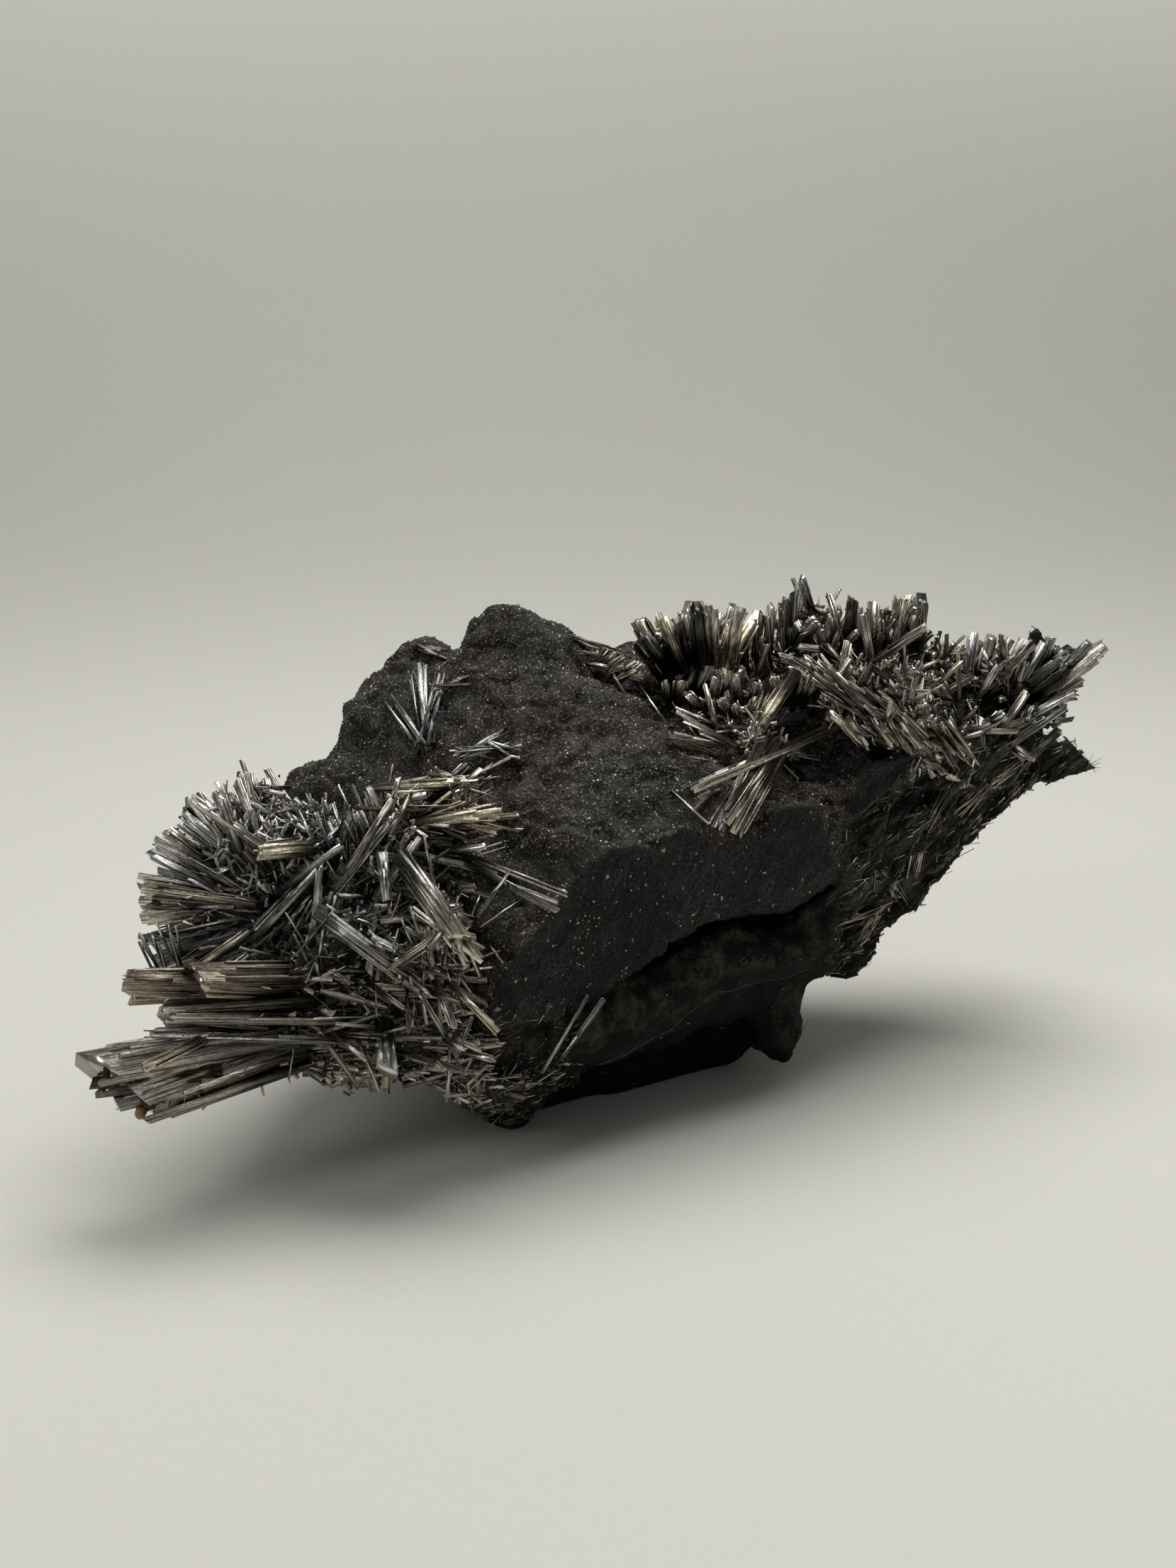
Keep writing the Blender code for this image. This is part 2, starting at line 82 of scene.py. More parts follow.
# A needle as the photograph shows it: the pixels of its root and tip, across and down, its width in
# pixels, its hue, and how far it stands off the solid behind it in mm.
Seen = namedtuple("Seen", "root tip width hue lift")


# ---------------------------------------------------------------- meshes


def unit(vectors):
    return vectors / np.maximum(np.linalg.norm(vectors, axis=-1, keepdims=True), 1e-9)


def to_frame(points):
    return (np.asarray(points, float) - ORIGIN) * MM


def to_working(points):
    return np.asarray(points, float) / MM + ORIGIN


def new_object(name, data):
    obj = bpy.data.objects.new(name, data)
    bpy.context.scene.collection.objects.link(obj)
    return obj


def link(name, mesh, body="root"):
    obj = new_object(name, mesh)
    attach(obj, body)
    return obj


def read_vectors(items, field):
    flat = np.empty(len(items) * 3, np.float32)
    items.foreach_get(field, flat)
    return flat.reshape(-1, 3).astype(float)


def mesh_points(mesh):
    return read_vectors(mesh.vertices, "co")


def mesh_normals(mesh):
    return read_vectors(mesh.vertex_normals, "vector")


def quick_mesh(name, points, faces):
    """A mesh from frame points and groups of faces, each group an array of equal-sided faces."""
    mesh = bpy.data.meshes.new(name)
    sizes = np.concatenate([np.full(len(f), f.shape[1]) for f in faces])
    corners = np.concatenate([f.ravel() for f in faces])
    mesh.vertices.add(len(points))
    mesh.vertices.foreach_set("co", points.astype(np.float32).ravel())
    mesh.loops.add(len(corners))
    mesh.loops.foreach_set("vertex_index", corners.astype(np.int32))
    mesh.polygons.add(len(sizes))
    starts = np.concatenate([[0], np.cumsum(sizes)[:-1]])
    mesh.polygons.foreach_set("loop_start", starts.astype(np.int32))
    mesh.update(calc_edges=True)
    return mesh


def add_attribute(mesh, name, values):
    mesh.attributes.new(name, "FLOAT", "POINT").data.foreach_set("value", np.asarray(values, np.float32))


class Needles:
    """A growing list of crystals, which becomes one mesh of flat-faced prisms."""

    def __init__(self, sides):
        self.sides = sides
        self.rows = []

    def add(self, root, tip, width, depth, hue, shade, rng):
        """Adds crystals: root and tip are (n, 3), the rest are numbers or (n,) arrays."""
        count = len(root)
        row = np.empty((count, 14))
        row[:, 0:3], row[:, 3:6] = root, tip
        row[:, 6], row[:, 7] = width, depth
        row[:, 8], row[:, 9] = hue, shade
        row[:, 10] = rng.uniform(0, math.tau, count)  # roll about its length
        row[:, 11] = rng.uniform(-0.9, 0.9, count)  # slant of its tip
        row[:, 12] = rng.uniform(0.84, 1.0, count)  # how much the tip narrows
        row[:, 13] = rng.uniform(0, 100, count)  # where its striations start
        self.rows.append(row)

    def build(self, name, material):
        rows = np.concatenate(self.rows)
        count, sides = len(rows), self.sides
        root, tip = rows[:, 0:3], rows[:, 3:6]
        along = unit(tip - root)
        up = np.where(np.abs(along[:, 2:3]) < 0.9, [[0.0, 0.0, 1.0]], [[1.0, 0.0, 0.0]])
        first = unit(np.cross(up, along))
        second = np.cross(along, first)
        roll = rows[:, 10:11]
        across = first * np.cos(roll) + second * np.sin(roll)
        beside = np.cross(along, across)
        points = np.empty((count, 2, sides, 3))
        for k in range(sides):
            turn = math.tau * (k + 0.5) / sides
            out = across * (math.cos(turn) * rows[:, 6:7] / 2) + beside * (math.sin(turn) * rows[:, 7:8] / 2)
            cut = rows[:, 11:12] * math.cos(turn) * rows[:, 6:7] / 2
            points[:, 0, k] = root + out
            points[:, 1, k] = tip + out * rows[:, 12:13] + along * cut
        points[..., 2] = np.maximum(points[..., 2], FLOOR_GAP)
        index = np.arange(count * 2 * sides).reshape(count, 2, sides)
        after = np.roll(index, -1, axis=2)
        walls = np.stack([index[:, 0], after[:, 0], after[:, 1], index[:, 1]], axis=-1).reshape(-1, 4)
        caps = np.concatenate([index[:, 0, ::-1], index[:, 1]])
        mesh = quick_mesh(name, to_frame(points.reshape(-1, 3)), [walls, caps])
        add_attribute(mesh, "hue", np.repeat(rows[:, 8], 2 * sides))
        # Painted shade, with some dust: each crystal is darker at its root than at its tip.
        ends = rows[:, 9:10] * np.array([[ROOT_SHADE, 1.0]])
        add_attribute(mesh, "shade", np.repeat(ends.ravel(), sides))
        self.add_map(mesh, rows, np.linalg.norm(tip - root, axis=1))
        mesh.materials.append(material)
        obj = link(name, mesh)
        return obj

    def add_map(self, mesh, rows, length):
        """A UV map in millimetres: U runs round a crystal and V along it."""
        count, sides = len(rows), self.sides
        side = (rows[:, 6] + rows[:, 7]) / 2 * math.pi / sides
        u = rows[:, 13:14] + side[:, None] * np.arange(sides)
        walls = np.zeros((count, sides, 4, 2))
        walls[..., 0] = u[:, :, None] + side[:, None, None] * np.array([0, 1, 1, 0])
        walls[..., 2:, 1] = length[:, None, None]
        caps = np.zeros((2, count, sides, 2))
        caps[..., 0] = rows[:, 13][None, :, None]
        layer = mesh.uv_layers.new(name="along")
        flat = np.concatenate([walls.reshape(-1, 2), caps.reshape(-1, 2)])
        layer.uv.foreach_set("vector", flat.astype(np.float32).ravel())


def random_ways(count, rng):
    return unit(rng.normal(size=(count, 3)))


# What a crystal is made up of: its core's width as a share of its own, how flat the core is, and how far
# off and how wide the slivers along it are, as shares of its width.
Makeup = namedtuple("Makeup", "core flat radius sliver")
STOUT = Makeup(0.93, (0.7, 0.95), (0.32, 0.44), (0.08, 0.24))
SLIM = Makeup(0.84, (0.4, 0.85), (0.25, 0.39), (0.14, 0.36))
STOUT_WIDTH = 1.5  # a crystal wider than this is a stout one


def add_bundle(needles, column, rng, uneven=0.1, tones=TONES):
    """A column as one stout crystal with low slivers along its sides, whose ends are stepped."""
    root, tip = np.array(column.root, float), np.array(column.tip, float)
    length = np.linalg.norm(tip - root)
    along = (tip - root) / length
    across = unit(np.cross(along, rng.normal(size=3)))
    beside = np.cross(along, across)
    makeup = STOUT if column.width > STOUT_WIDTH else SLIM
    core, tone = column.width * makeup.core, rng.uniform(*tones)
    end = tip - along * length * uneven * 0.3
    needles.add(root[None], end[None], core, core * rng.uniform(*makeup.flat), column.hue, tone, rng)
    slivers = np.clip(column.width * 3, 4, 11) if makeup is STOUT else np.clip(column.width / 0.2 - 1, 0, 18)
    count = int(slivers)
    turn = math.tau * (np.arange(count) + rng.uniform(-0.4, 0.4, count)) / max(count, 1)
    radius = column.width * rng.uniform(*makeup.radius, count)
    offset = across * (np.cos(turn) * radius)[:, None] + beside * (np.sin(turn) * radius)[:, None]
    start = root + offset + along * (length * 0.4 * rng.random(count) ** 2)[:, None]
    stop = tip + offset + along * (length * uneven * rng.uniform(-3.0, 0.2, count))[:, None]
    width = column.width * rng.uniform(*makeup.sliver, count)
    shade = np.clip(tone + rng.uniform(-0.3, 0.35, count), 0, 1)
    needles.add(start, stop, width, width * 0.7, column.hue + rng.normal(size=count) * 0.06, shade, rng)


def surface_tree(obj):
    mesh = obj.data
    return BVHTree.FromPolygons([v.co for v in mesh.vertices], [p.vertices for p in mesh.polygons])


CLEAR_GAP = 0.2  # a crystal hangs clear of the ground when all of it is farther off than this
LOOKS_ALONG = 9  # at this many points


def planted(column, grounds):
    """The column, with its nearer end carried to the ground if all of it hangs clear of the ground."""
    root, tip = np.array(column.root, float), np.array(column.tip, float)
    line = to_frame(root + (tip - root) * np.linspace(0, 1, LOOKS_ALONG)[:, None])
    hits = [min((tree.find_nearest(point) for tree in grounds), key=lambda hit: hit[3]) for point in line]
    clear = [(Vector(point) - hit[0]).dot(hit[1]) for point, hit in zip(line, hits)]
    if min(clear) < CLEAR_GAP * MM:
        return column
    if clear[-1] < clear[0]:
        return column._replace(tip=to_working(hits[-1][0]))
    return column._replace(root=to_working(hits[0][0]))


FRONT_REACH, BACK_REACH = 8.0, 4.0  # how far in front of its root a traced needle's tip may lie, and behind
STEEPEST = 0.9  # how far apart in y its ends may be, as a share of how far apart they are in x and z
ROOT_SINK, TIP_RISE = 0.5, 0.4  # how much less than its lift its root stands off, and how much more its tip
THINNEST = 0.3  # no traced needle is thinner than this
MISS_STEP = 1.0  # an end whose pixel misses the solids lies this much in front of the other
MISS_PLACE = -24.0  # the y of both ends where both miss


def sight_line(pixel):
    """The way from the camera through a pixel of the photograph, one unit of it per unit of depth."""
    right, down = (np.array(pixel) - np.array(PICTURE) / 2) / FOCAL_PIXELS
    sine, cosine = math.sin(CAMERA_DOWN), math.cos(CAMERA_DOWN)
    return np.array([right, cosine - down * sine, -sine - down * cosine])


def seen_depth(pixel, solids):
    """The y at which a pixel's sight line first meets the solids, or None where it misses them."""
    start, way = Vector(to_frame(CAMERA_PLACE)), Vector(unit(sight_line(pixel)))
    hits = [hit for hit in (tree.ray_cast(start, way) for tree in solids) if hit[0] is not None]
    return to_working(min(hits, key=lambda hit: hit[3])[0])[1] if hits else None


def traced(needle, solids):
    """A needle seen in the photograph as a column whose ends stand where its pixels meet the solids."""
    root_y, tip_y = seen_depth(needle.root, solids), seen_depth(needle.tip, solids)
    if root_y is None:
        root_y = MISS_PLACE if tip_y is None else tip_y - MISS_STEP
        tip_y = MISS_PLACE if tip_y is None else tip_y
    elif tip_y is None:
        tip_y = root_y - MISS_STEP
    tip_y = np.clip(tip_y, root_y - FRONT_REACH, root_y + BACK_REACH)
    camera, ends = np.array(CAMERA_PLACE), []
    for pixel, y in ((needle.root, root_y), (needle.tip, tip_y)):
        way = sight_line(pixel)
        ends.append(camera + way * (y - camera[1]) / way[1])
    root, tip = ends
    nearer = unit(camera - tip)
    root, tip = root + nearer * (needle.lift - ROOT_SINK), tip + nearer * (needle.lift + TIP_RISE)
    reach = STEEPEST * math.hypot(tip[0] - root[0], tip[2] - root[2])
    tip[1] = np.clip(tip[1], root[1] - reach, root[1] + reach)
    width = max(needle.width * np.linalg.norm(camera - tip) / FOCAL_PIXELS, THINNEST)
    return Column(np.round(root, 1), np.round(tip, 1), round(float(width), 1), needle.hue)


def fan_ways(fan, count, rng):
    """Directions of a fan: even steps about its axis, with a little scatter."""
    toward, axis = unit(np.array(fan.toward, float)), unit(np.array(fan.axis, float))
    turn = fan.arc * ((np.arange(count) + rng.uniform(0, 1, count)) / count - 0.5)
    across = np.cross(axis, toward)
    flat = toward - axis * (toward @ axis)
    ways = flat * np.cos(turn)[:, None] + across * np.sin(turn)[:, None] + axis * (toward @ axis)
    return unit(ways + axis * rng.uniform(*fan.lean, count)[:, None])


def add_fan(blades, hairs, fan, rng):
    """A fan as packed blades, with thin shorter needles between them."""
    centre = np.array(fan.centre, float)
    for way in fan_ways(fan, fan.count, rng):
        shift = rng.normal(size=3) * 0.8
        near = centre + shift + way * fan.length[0] * rng.uniform(0.2, 0.6)
        far = centre + shift * 0.5 + way * rng.uniform(*fan.length)
        blade = Column(near, far, rng.uniform(*fan.width), fan.hue + rng.normal() * HUE_SCATTER)
        add_bundle(blades, blade, rng, 0.03, fan.tones)
    ways = fan_ways(fan, fan.count * fan.hairs, rng)
    reach = rng.uniform(fan.length[0] * 0.6, fan.length[0] * 0.98, len(ways))
    start = centre + ways * rng.uniform(0.5, 6, (len(ways), 1)) + rng.normal(size=ways.shape) * 0.4
    ends = centre + ways * reach[:, None] + rng.normal(size=ways.shape) * 0.3
    width = rng.uniform(0.15, 0.5, len(ways))
    hairs.add(start, ends, width, width * 0.7, fan.hue, rng.random(len(ways)), rng)


def add_row(needles, row, rng):
    """Blades side by side, rooted along a line."""
    start, end = np.array(row.start, float), np.array(row.end, float)
    for share in (np.arange(row.count) + rng.uniform(0, 1, row.count)) / row.count:
        root = start + (end - start) * share + rng.normal(size=3) * 0.4
        way = unit(np.array(row.way, float) + rng.normal(size=3) * row.scatter)
        tip = root + way * rng.uniform(*row.length)
        blade = Column(root, tip, rng.uniform(*row.width), row.hue + rng.normal() * HUE_SCATTER)
        add_bundle(needles, blade, rng, 0.04, row.tones)


def surface_samples(obj, count, rng, keep):
    """Random points on an object's surface, with their normals, where keep(points, normals) is true."""
    mesh = obj.data
    mesh.calc_loop_triangles()
    corners = np.empty(len(mesh.loop_triangles) * 3, np.int32)
    mesh.loop_triangles.foreach_get("vertices", corners)
    triangles = to_working(mesh_points(mesh))[corners.reshape(-1, 3)]
    a, b, c = triangles[:, 0], triangles[:, 1], triangles[:, 2]
    cross = np.cross(b - a, c - a)
    area = np.linalg.norm(cross, axis=1) / 2
    normals = unit(cross)
    area *= keep((a + b + c) / 3, normals)
    chosen = rng.choice(len(area), count, p=area / area.sum())
    u, v = rng.random((2, count, 1))
    folded = u + v > 1
    u, v = np.where(folded, 1 - u, u), np.where(folded, 1 - v, v)
    return a[chosen] + u * (b[chosen] - a[chosen]) + v * (c[chosen] - a[chosen]), normals[chosen]


def add_strewn(
    needles, obj, rng, keep, count, length, width, stand, hue, grain=None, scatter=0.6, tones=(0, 1),
):
    """Needles strewn over a surface: stand is how steeply they rise from it, and grain a common way."""
    points, normals = surface_samples(obj, count, rng, keep)
    ways = random_ways(count, rng)
    if grain is not None:
        ways = unit(ways * scatter + unit(np.array(grain, float)))
    flat = unit(ways - normals * np.sum(ways * normals, axis=1, keepdims=True))
    ways = unit(flat + normals * rng.uniform(*stand, (count, 1)))
    far = length[0] + (length[1] - length[0]) * rng.random((count, 1)) ** 1.6
    back = far * rng.uniform(0.25, 0.6, (count, 1))
    wide = width[0] + (width[1] - width[0]) * rng.random(count) ** 1.8
    hues = np.clip(rng.normal(hue, 0.14, count), 0, 1)
    needles.add(
        points - ways * back - normals * 0.1, points + ways * (far - back), wide,
        wide * rng.uniform(0.3, 0.8, count), hues, rng.uniform(*tones, count), rng,
    )


# ---------------------------------------------------------------- materials


class Nodes:
    """A material's node tree, with short calls for the nodes that it is made of."""

    def __init__(self, name):
        self.material = bpy.data.materials.new(name)
        self.material.use_nodes = True
        self.tree = self.material.node_tree
        self.shader = self.tree.nodes["Principled BSDF"]

    def set(self, **values):
        for name, value in values.items():
            self.shader.inputs[name.replace("_", " ")].default_value = value

    def add(self, kind, links=(), **settings):
        node = self.tree.nodes.new(kind)
        for name, value in settings.items():
            if hasattr(node, name):
                setattr(node, name, value)
            else:
                node.inputs[name.replace("_", " ")].default_value = value
        for socket, output in dict(links).items():
            self.tree.links.new(output, node.inputs[socket])
        return node

    def link(self, output, name):
        self.tree.links.new(output, self.shader.inputs[name])

    def attribute(self, name):
        return self.add("ShaderNodeAttribute", attribute_name=name).outputs["Fac"]

    def noise(self, scale, detail=4.0, roughness=0.55, at=None, stretch=None, distortion=0.0):
        """Noise over the object in metres, or over the vector at, pulled out by stretch."""
        vector = at or self.add("ShaderNodeTexCoord").outputs["Object"]
        if stretch is not None:
            vector = self.add("ShaderNodeMapping", {"Vector": vector}, Scale=stretch).outputs["Vector"]
        node = self.add(
            "ShaderNodeTexNoise", {"Vector": vector}, Scale=scale, Detail=detail, Roughness=roughness,
            Distortion=distortion,
        )
        return node.outputs["Fac"]

    def vector_math(self, operation, first, second):
        """Works on a socket with a second one, or with a vector."""
        node = self.add("ShaderNodeVectorMath", {0: first}, operation=operation)
        if isinstance(second, bpy.types.NodeSocket):
            self.tree.links.new(second, node.inputs[1])
        else:
            node.inputs[1].default_value = second
        return node

    def drawn_out(self, way, amount):
        """The object's own coordinates in metres, shrunk along way so that noise is drawn out along it."""
        place = self.add("ShaderNodeTexCoord").outputs["Object"]
        way = unit(np.array(way, float))
        share = self.vector_math("DOT_PRODUCT", place, way).outputs["Value"]
        along = self.vector_math("MULTIPLY", share, way * (1 - amount)).outputs["Vector"]
        return self.vector_math("SUBTRACT", place, along).outputs["Vector"]

    def ramp(self, value, stops):
        node = self.add("ShaderNodeValToRGB", {"Fac": value})
        elements = node.color_ramp.elements
        while len(elements) < len(stops):
            elements.new(0.5)
        for element, (place, colour) in zip(elements, stops):
            element.position = place
            level = (colour,) * 3 if isinstance(colour, (int, float)) else colour
            element.color = (*level, 1.0)
        return node.outputs["Color"]

    def step(self, value, low, high, bottom=0.0, top=1.0):
        """A ramp from bottom, where the value is low, to top, where it is high."""
        return self.ramp(value, [(low, bottom), (high, top)])

    def mix(self, factor, first, second, blend="MIX"):
        node = self.add("ShaderNodeMix", data_type="RGBA", blend_type=blend)
        sockets = {"Factor": factor, "A": first, "B": second}
        for socket in node.inputs:
            if not socket.enabled or socket.name not in sockets:
                continue
            value = sockets[socket.name]
            if isinstance(value, bpy.types.NodeSocket):
                self.tree.links.new(value, socket)
            elif isinstance(value, tuple):
                socket.default_value = (*value, 1.0)
            else:
                socket.default_value = value
        return next(s for s in node.outputs if s.enabled)

    def bump(self, height, strength, distance, under=None):
        links = {"Height": height}
        if under is not None:
            links["Normal"] = under
        node = self.add("ShaderNodeBump", links, Strength=strength, Distance=distance)
        return node.outputs["Normal"]


def crystal_material():
    """Striated metal: steel grey, with some crystals dark, silvery, bluish, brassy or bronze."""
    n = Nodes("crystal")
    along = n.add("ShaderNodeUVMap", uv_map="along").outputs["UV"]
    lines = n.noise(1.0, 3.0, 0.6, at=along, stretch=(14.0, 0.3, 1.0))
    ribs = n.noise(1.0, 2.0, 0.5, at=along, stretch=(4.2, 0.1, 1.0))
    patches = n.noise(1.0, 3.0, 0.6, at=along, stretch=(2.0, 0.9, 1.0))
    colour = n.ramp(n.attribute("hue"), [
        (0.0, (0.51, 0.54, 0.585)), (0.35, (0.645, 0.64, 0.605)), (0.6, (0.66, 0.61, 0.525)),
        (0.8, (0.64, 0.57, 0.42)), (1.0, (0.53, 0.43, 0.36)),
    ])
    shade = n.ramp(n.attribute("shade"), [(0.0, 0.06), (0.3, 0.4), (0.6, 1.05), (1.0, 1.75)])
    colour = n.mix(1.0, colour, shade, "MULTIPLY")
    colour = n.mix(1.0, colour, n.step(n.noise(130.0, 2.0), 0.38, 0.56, 0.6, 1.0), "MULTIPLY")
    colour = n.mix(1.0, colour, n.step(patches, 0.3, 0.52, 0.5, 1.0), "MULTIPLY")
    colour = n.mix(1.0, colour, n.step(ribs, 0.38, 0.52, 0.28, 1.0), "MULTIPLY")
    n.link(colour, "Base Color")
    n.link(n.step(lines, 0.3, 0.75, 0.1, 0.34), "Roughness")
    n.link(n.bump(lines, 0.6, 0.00012), "Normal")
    n.set(Metallic=1.0)
    return n.material


def core_material():
    """The crusty ground between the needles, dark in its own colour and painted near black as shade among the
    needles.
    """
    n = Nodes("crystal_root")
    spots = n.noise(1400.0, 5.0, 0.65)
    patches = n.noise(260.0, 3.0, 0.6)
    crust = n.mix(spots, (0.012, 0.0105, 0.009), (0.11, 0.092, 0.07))
    # Painted shade among the needles: the darkest patches of the ground are near black.
    dark = n.mix(spots, (0.003, 0.003, 0.003), (0.020, 0.018, 0.017))
    n.link(n.mix(n.step(patches, 0.46, 0.6), dark, crust), "Base Color")
    n.link(n.bump(spots, 0.8, 0.0004), "Normal")
    n.set(Roughness=0.7, Specular_IOR_Level=0.25)
    return n.material


def rock_material():
    """Near-black rock: brownish where drusy, sooty on the cleaved front, with painted glints on both and
    painted shade where its dark attribute says.
    """
    n = Nodes("rock")
    fine = n.noise(3300.0, 3.0, 0.75)
    medium = n.noise(420.0, 5.0, 0.65)
    broad = n.noise(110.0, 4.0, 0.65, distortion=0.8)
    blotches = n.noise(330.0, 6.0, 0.75)
    streaks = n.noise(1900.0, 5.0, 0.75, at=n.drawn_out(STREAK_WAY, 0.22))
    fibres = n.noise(1300.0, 4.0, 0.7, at=n.drawn_out(FIBRE_WAY, 0.1))
    specks = n.step(n.noise(1700.0, 1.0, 0.5), 0.735, 0.755)
    tint = n.step(n.noise(75.0, 3.0, 0.6), 0.42, 0.58)
    earth = n.mix(tint, (0.047, 0.048, 0.037), (0.066, 0.052, 0.042))
    bare = n.step(n.noise(64.0, 4.0, 0.65, distortion=0.6), 0.54, 0.63, 0.0, 0.7)
    drusy = n.mix(n.step(medium, 0.36, 0.66), (0.0065, 0.0058, 0.005), earth)
    # Painted glints: fine near-white points over the drusy ground.
    drusy = n.mix(n.step(fine, 0.54, 0.7), drusy, (0.27, 0.235, 0.2))
    drusy = n.mix(bare, drusy, (0.02, 0.0215, 0.0175))
    cleaved = n.mix(n.step(streaks, 0.42, 0.72), (0.009, 0.009, 0.0085), (0.04, 0.04, 0.036))
    cleaved = n.mix(n.step(fine, 0.5, 0.72, 0.0, 0.8), cleaved, (0.085, 0.085, 0.078))
    cleaved = n.mix(n.step(broad, 0.36, 0.6, 0.75, 0.0), cleaved, (0.006, 0.006, 0.0055))
    # Painted glints: sparse pale specks on the cleaved front.
    cleaved = n.mix(specks, cleaved, (0.32, 0.30, 0.26))
    rough = n.mix(n.step(blotches, 0.46, 0.66), (0.002, 0.002, 0.0018), (0.050, 0.047, 0.035))
    rough = n.mix(n.step(fine, 0.58, 0.85, 0.0, 0.6), rough, (0.06, 0.056, 0.046))
    fibrous = n.mix(n.step(fibres, 0.46, 0.74), (0.004, 0.0045, 0.0038), (0.12, 0.11, 0.088))
    fibrous = n.mix(n.step(medium, 0.5, 0.68, 0.0, 0.45), fibrous, (0.05, 0.048, 0.036))
    colour = n.mix(n.attribute("front"), drusy, cleaved)
    colour = n.mix(n.attribute("lobe"), colour, rough)
    colour = n.mix(n.attribute("flank"), colour, fibrous)
    # Painted shade: near black where the dark attribute is high.
    colour = n.mix(n.attribute("dark"), colour, (0.0022, 0.0021, 0.002))
    n.link(colour, "Base Color")
    n.link(n.step(fine, 0.35, 0.7, 0.85, 0.45), "Roughness")
    coarse = n.bump(medium, 0.5, 0.0005)
    n.link(n.bump(fine, 0.7, 0.00022, n.bump(fibres, 0.35, 0.0003, coarse)), "Normal")
    n.set(Specular_IOR_Level=0.12)
    return n.material


def grain_material():
    """The glassy points of the druse; the brightest are painted near white as glints."""
    n = Nodes("grains")
    # Painted glints: the few grains with the highest shade go near white.
    tone = n.ramp(n.attribute("shade"), [
        (0.0, (0.014, 0.012, 0.0105)), (0.6, (0.13, 0.115, 0.1)), (1.0, (0.9, 0.82, 0.72)),
    ])
    n.link(tone, "Base Color")
    n.link(n.step(n.noise(900.0), 0.3, 0.7, 0.15, 0.4), "Roughness")
    n.set(Specular_IOR_Level=0.6)
    return n.material


def crust_material():
    """Dull, earthy chips among the crystals."""
    n = Nodes("crust")
    spots = n.noise(1600.0, 4.0, 0.65)
    tone = n.mix(n.attribute("shade"), (0.008, 0.007, 0.0055), (0.11, 0.095, 0.074))
    n.link(n.mix(spots, tone, (0.04, 0.034, 0.026)), "Base Color")
    n.link(n.bump(spots, 0.7, 0.0003), "Normal")
    n.set(Roughness=0.65)
    return n.material


def bead_material():
    """Amber."""
    n = Nodes("bead")
    n.link(n.mix(n.noise(1500.0, 3.0, 0.6), (0.11, 0.048, 0.02), (0.34, 0.18, 0.075)), "Base Color")
    n.set(Roughness=0.35)
    return n.material


def paper_material():
    """Pale, faintly fibrous paper."""
    n = Nodes("paper")
    fibre = n.noise(900.0, 3.0, 0.6)
    n.link(n.mix(fibre, (0.66, 0.648, 0.585), (0.70, 0.688, 0.622)), "Base Color")
    n.link(n.bump(fibre, 0.04, 0.0001), "Normal")
    n.set(Roughness=0.75)
    return n.material


# ---------------------------------------------------------------- rock

FIRST_STEP = 0.55  # voxel size of the rock before its front is sculpted
ROCK_STEP = 0.45  # voxel size of the rock's skin
GRAINS = 23000  # crystal points in the druse

# Outlines on the cleaved front, as x and z: the smooth face, the mouth of the crack under it, the lobe
# that bulges below the crack, and the deep shade under the lobe, which is painted on the rock as shade.
ABOVE_CRACK = [
    (6.6, 21.2), (8.2, 22.6), (10, 23.4), (13, 23.8), (15.3, 23.6), (17.8, 23.1), (20, 22.7), (22.8, 23.9),
]
BELOW_CRACK = [(6.6, 19.8), (8.2, 20.7), (10, 21.7), (13, 22.7), (15.3, 22.4), (17.8, 21.4), (20, 20.9)]
FACET = [
    (-10.8, 20.6), (-10.2, 22.8), (-6, 26.9), (-2.4, 32.1), (0.3, 33.7), (3.4, 34.5), (6.2, 33.8),
    (9.3, 35.3), (11.8, 32.8), (14.7, 32.4), (17.3, 33.2), (19.5, 35), (21.3, 35.8), (23.2, 35.1),
    (24.2, 32), (25.9, 25.2), *ABOVE_CRACK[::-1], (4, 19.9), (2.4, 19.4), (0.7, 18.3), (-2.4, 18.6),
    (-4.4, 16.5), (-5.8, 17.6), (-9.4, 18),
]
CRACK = [
    (4, 19.8), *ABOVE_CRACK, (25.7, 25.1), (25.9, 24.7), (22.8, 22.9), *BELOW_CRACK[::-1], (4.2, 19.3),
]
LOBE = [
    (-5.2, 14.5), (-4.2, 16.4), (-2.4, 18.5), (0.7, 18.2), (2.4, 19.3), (4.2, 19.6), *BELOW_CRACK,
    (22.8, 22.6), (25.5, 21.6), (28.5, 16.6), (23.9, 15.2), (19.6, 15), (13.2, 15.2), (10.7, 13.4),
    (8.5, 12.2), (4.2, 11), (-0.3, 9.8), (-2.4, 10.2), (-4.6, 12),
]
SHADE = [
    (-3.5, 8.8), (-0.3, 9.5), (4.2, 10.7), (8.5, 11.9), (10.7, 13.1), (13.2, 14.9), (19.6, 14.7),
    (20.5, 12.5), (20, 8), (22.5, -1), (-3.5, -1),
]

# A smooth dark block that stands out of the fibrous flank.
BLOCK = [
    (26.9, 32.7), (27.4, 34.4), (29.2, 36.7), (30.7, 38.4), (32.5, 38.8), (34, 38), (33.6, 36.8),
    (32, 35.2), (30.1, 33.9), (28.2, 32.6),
]

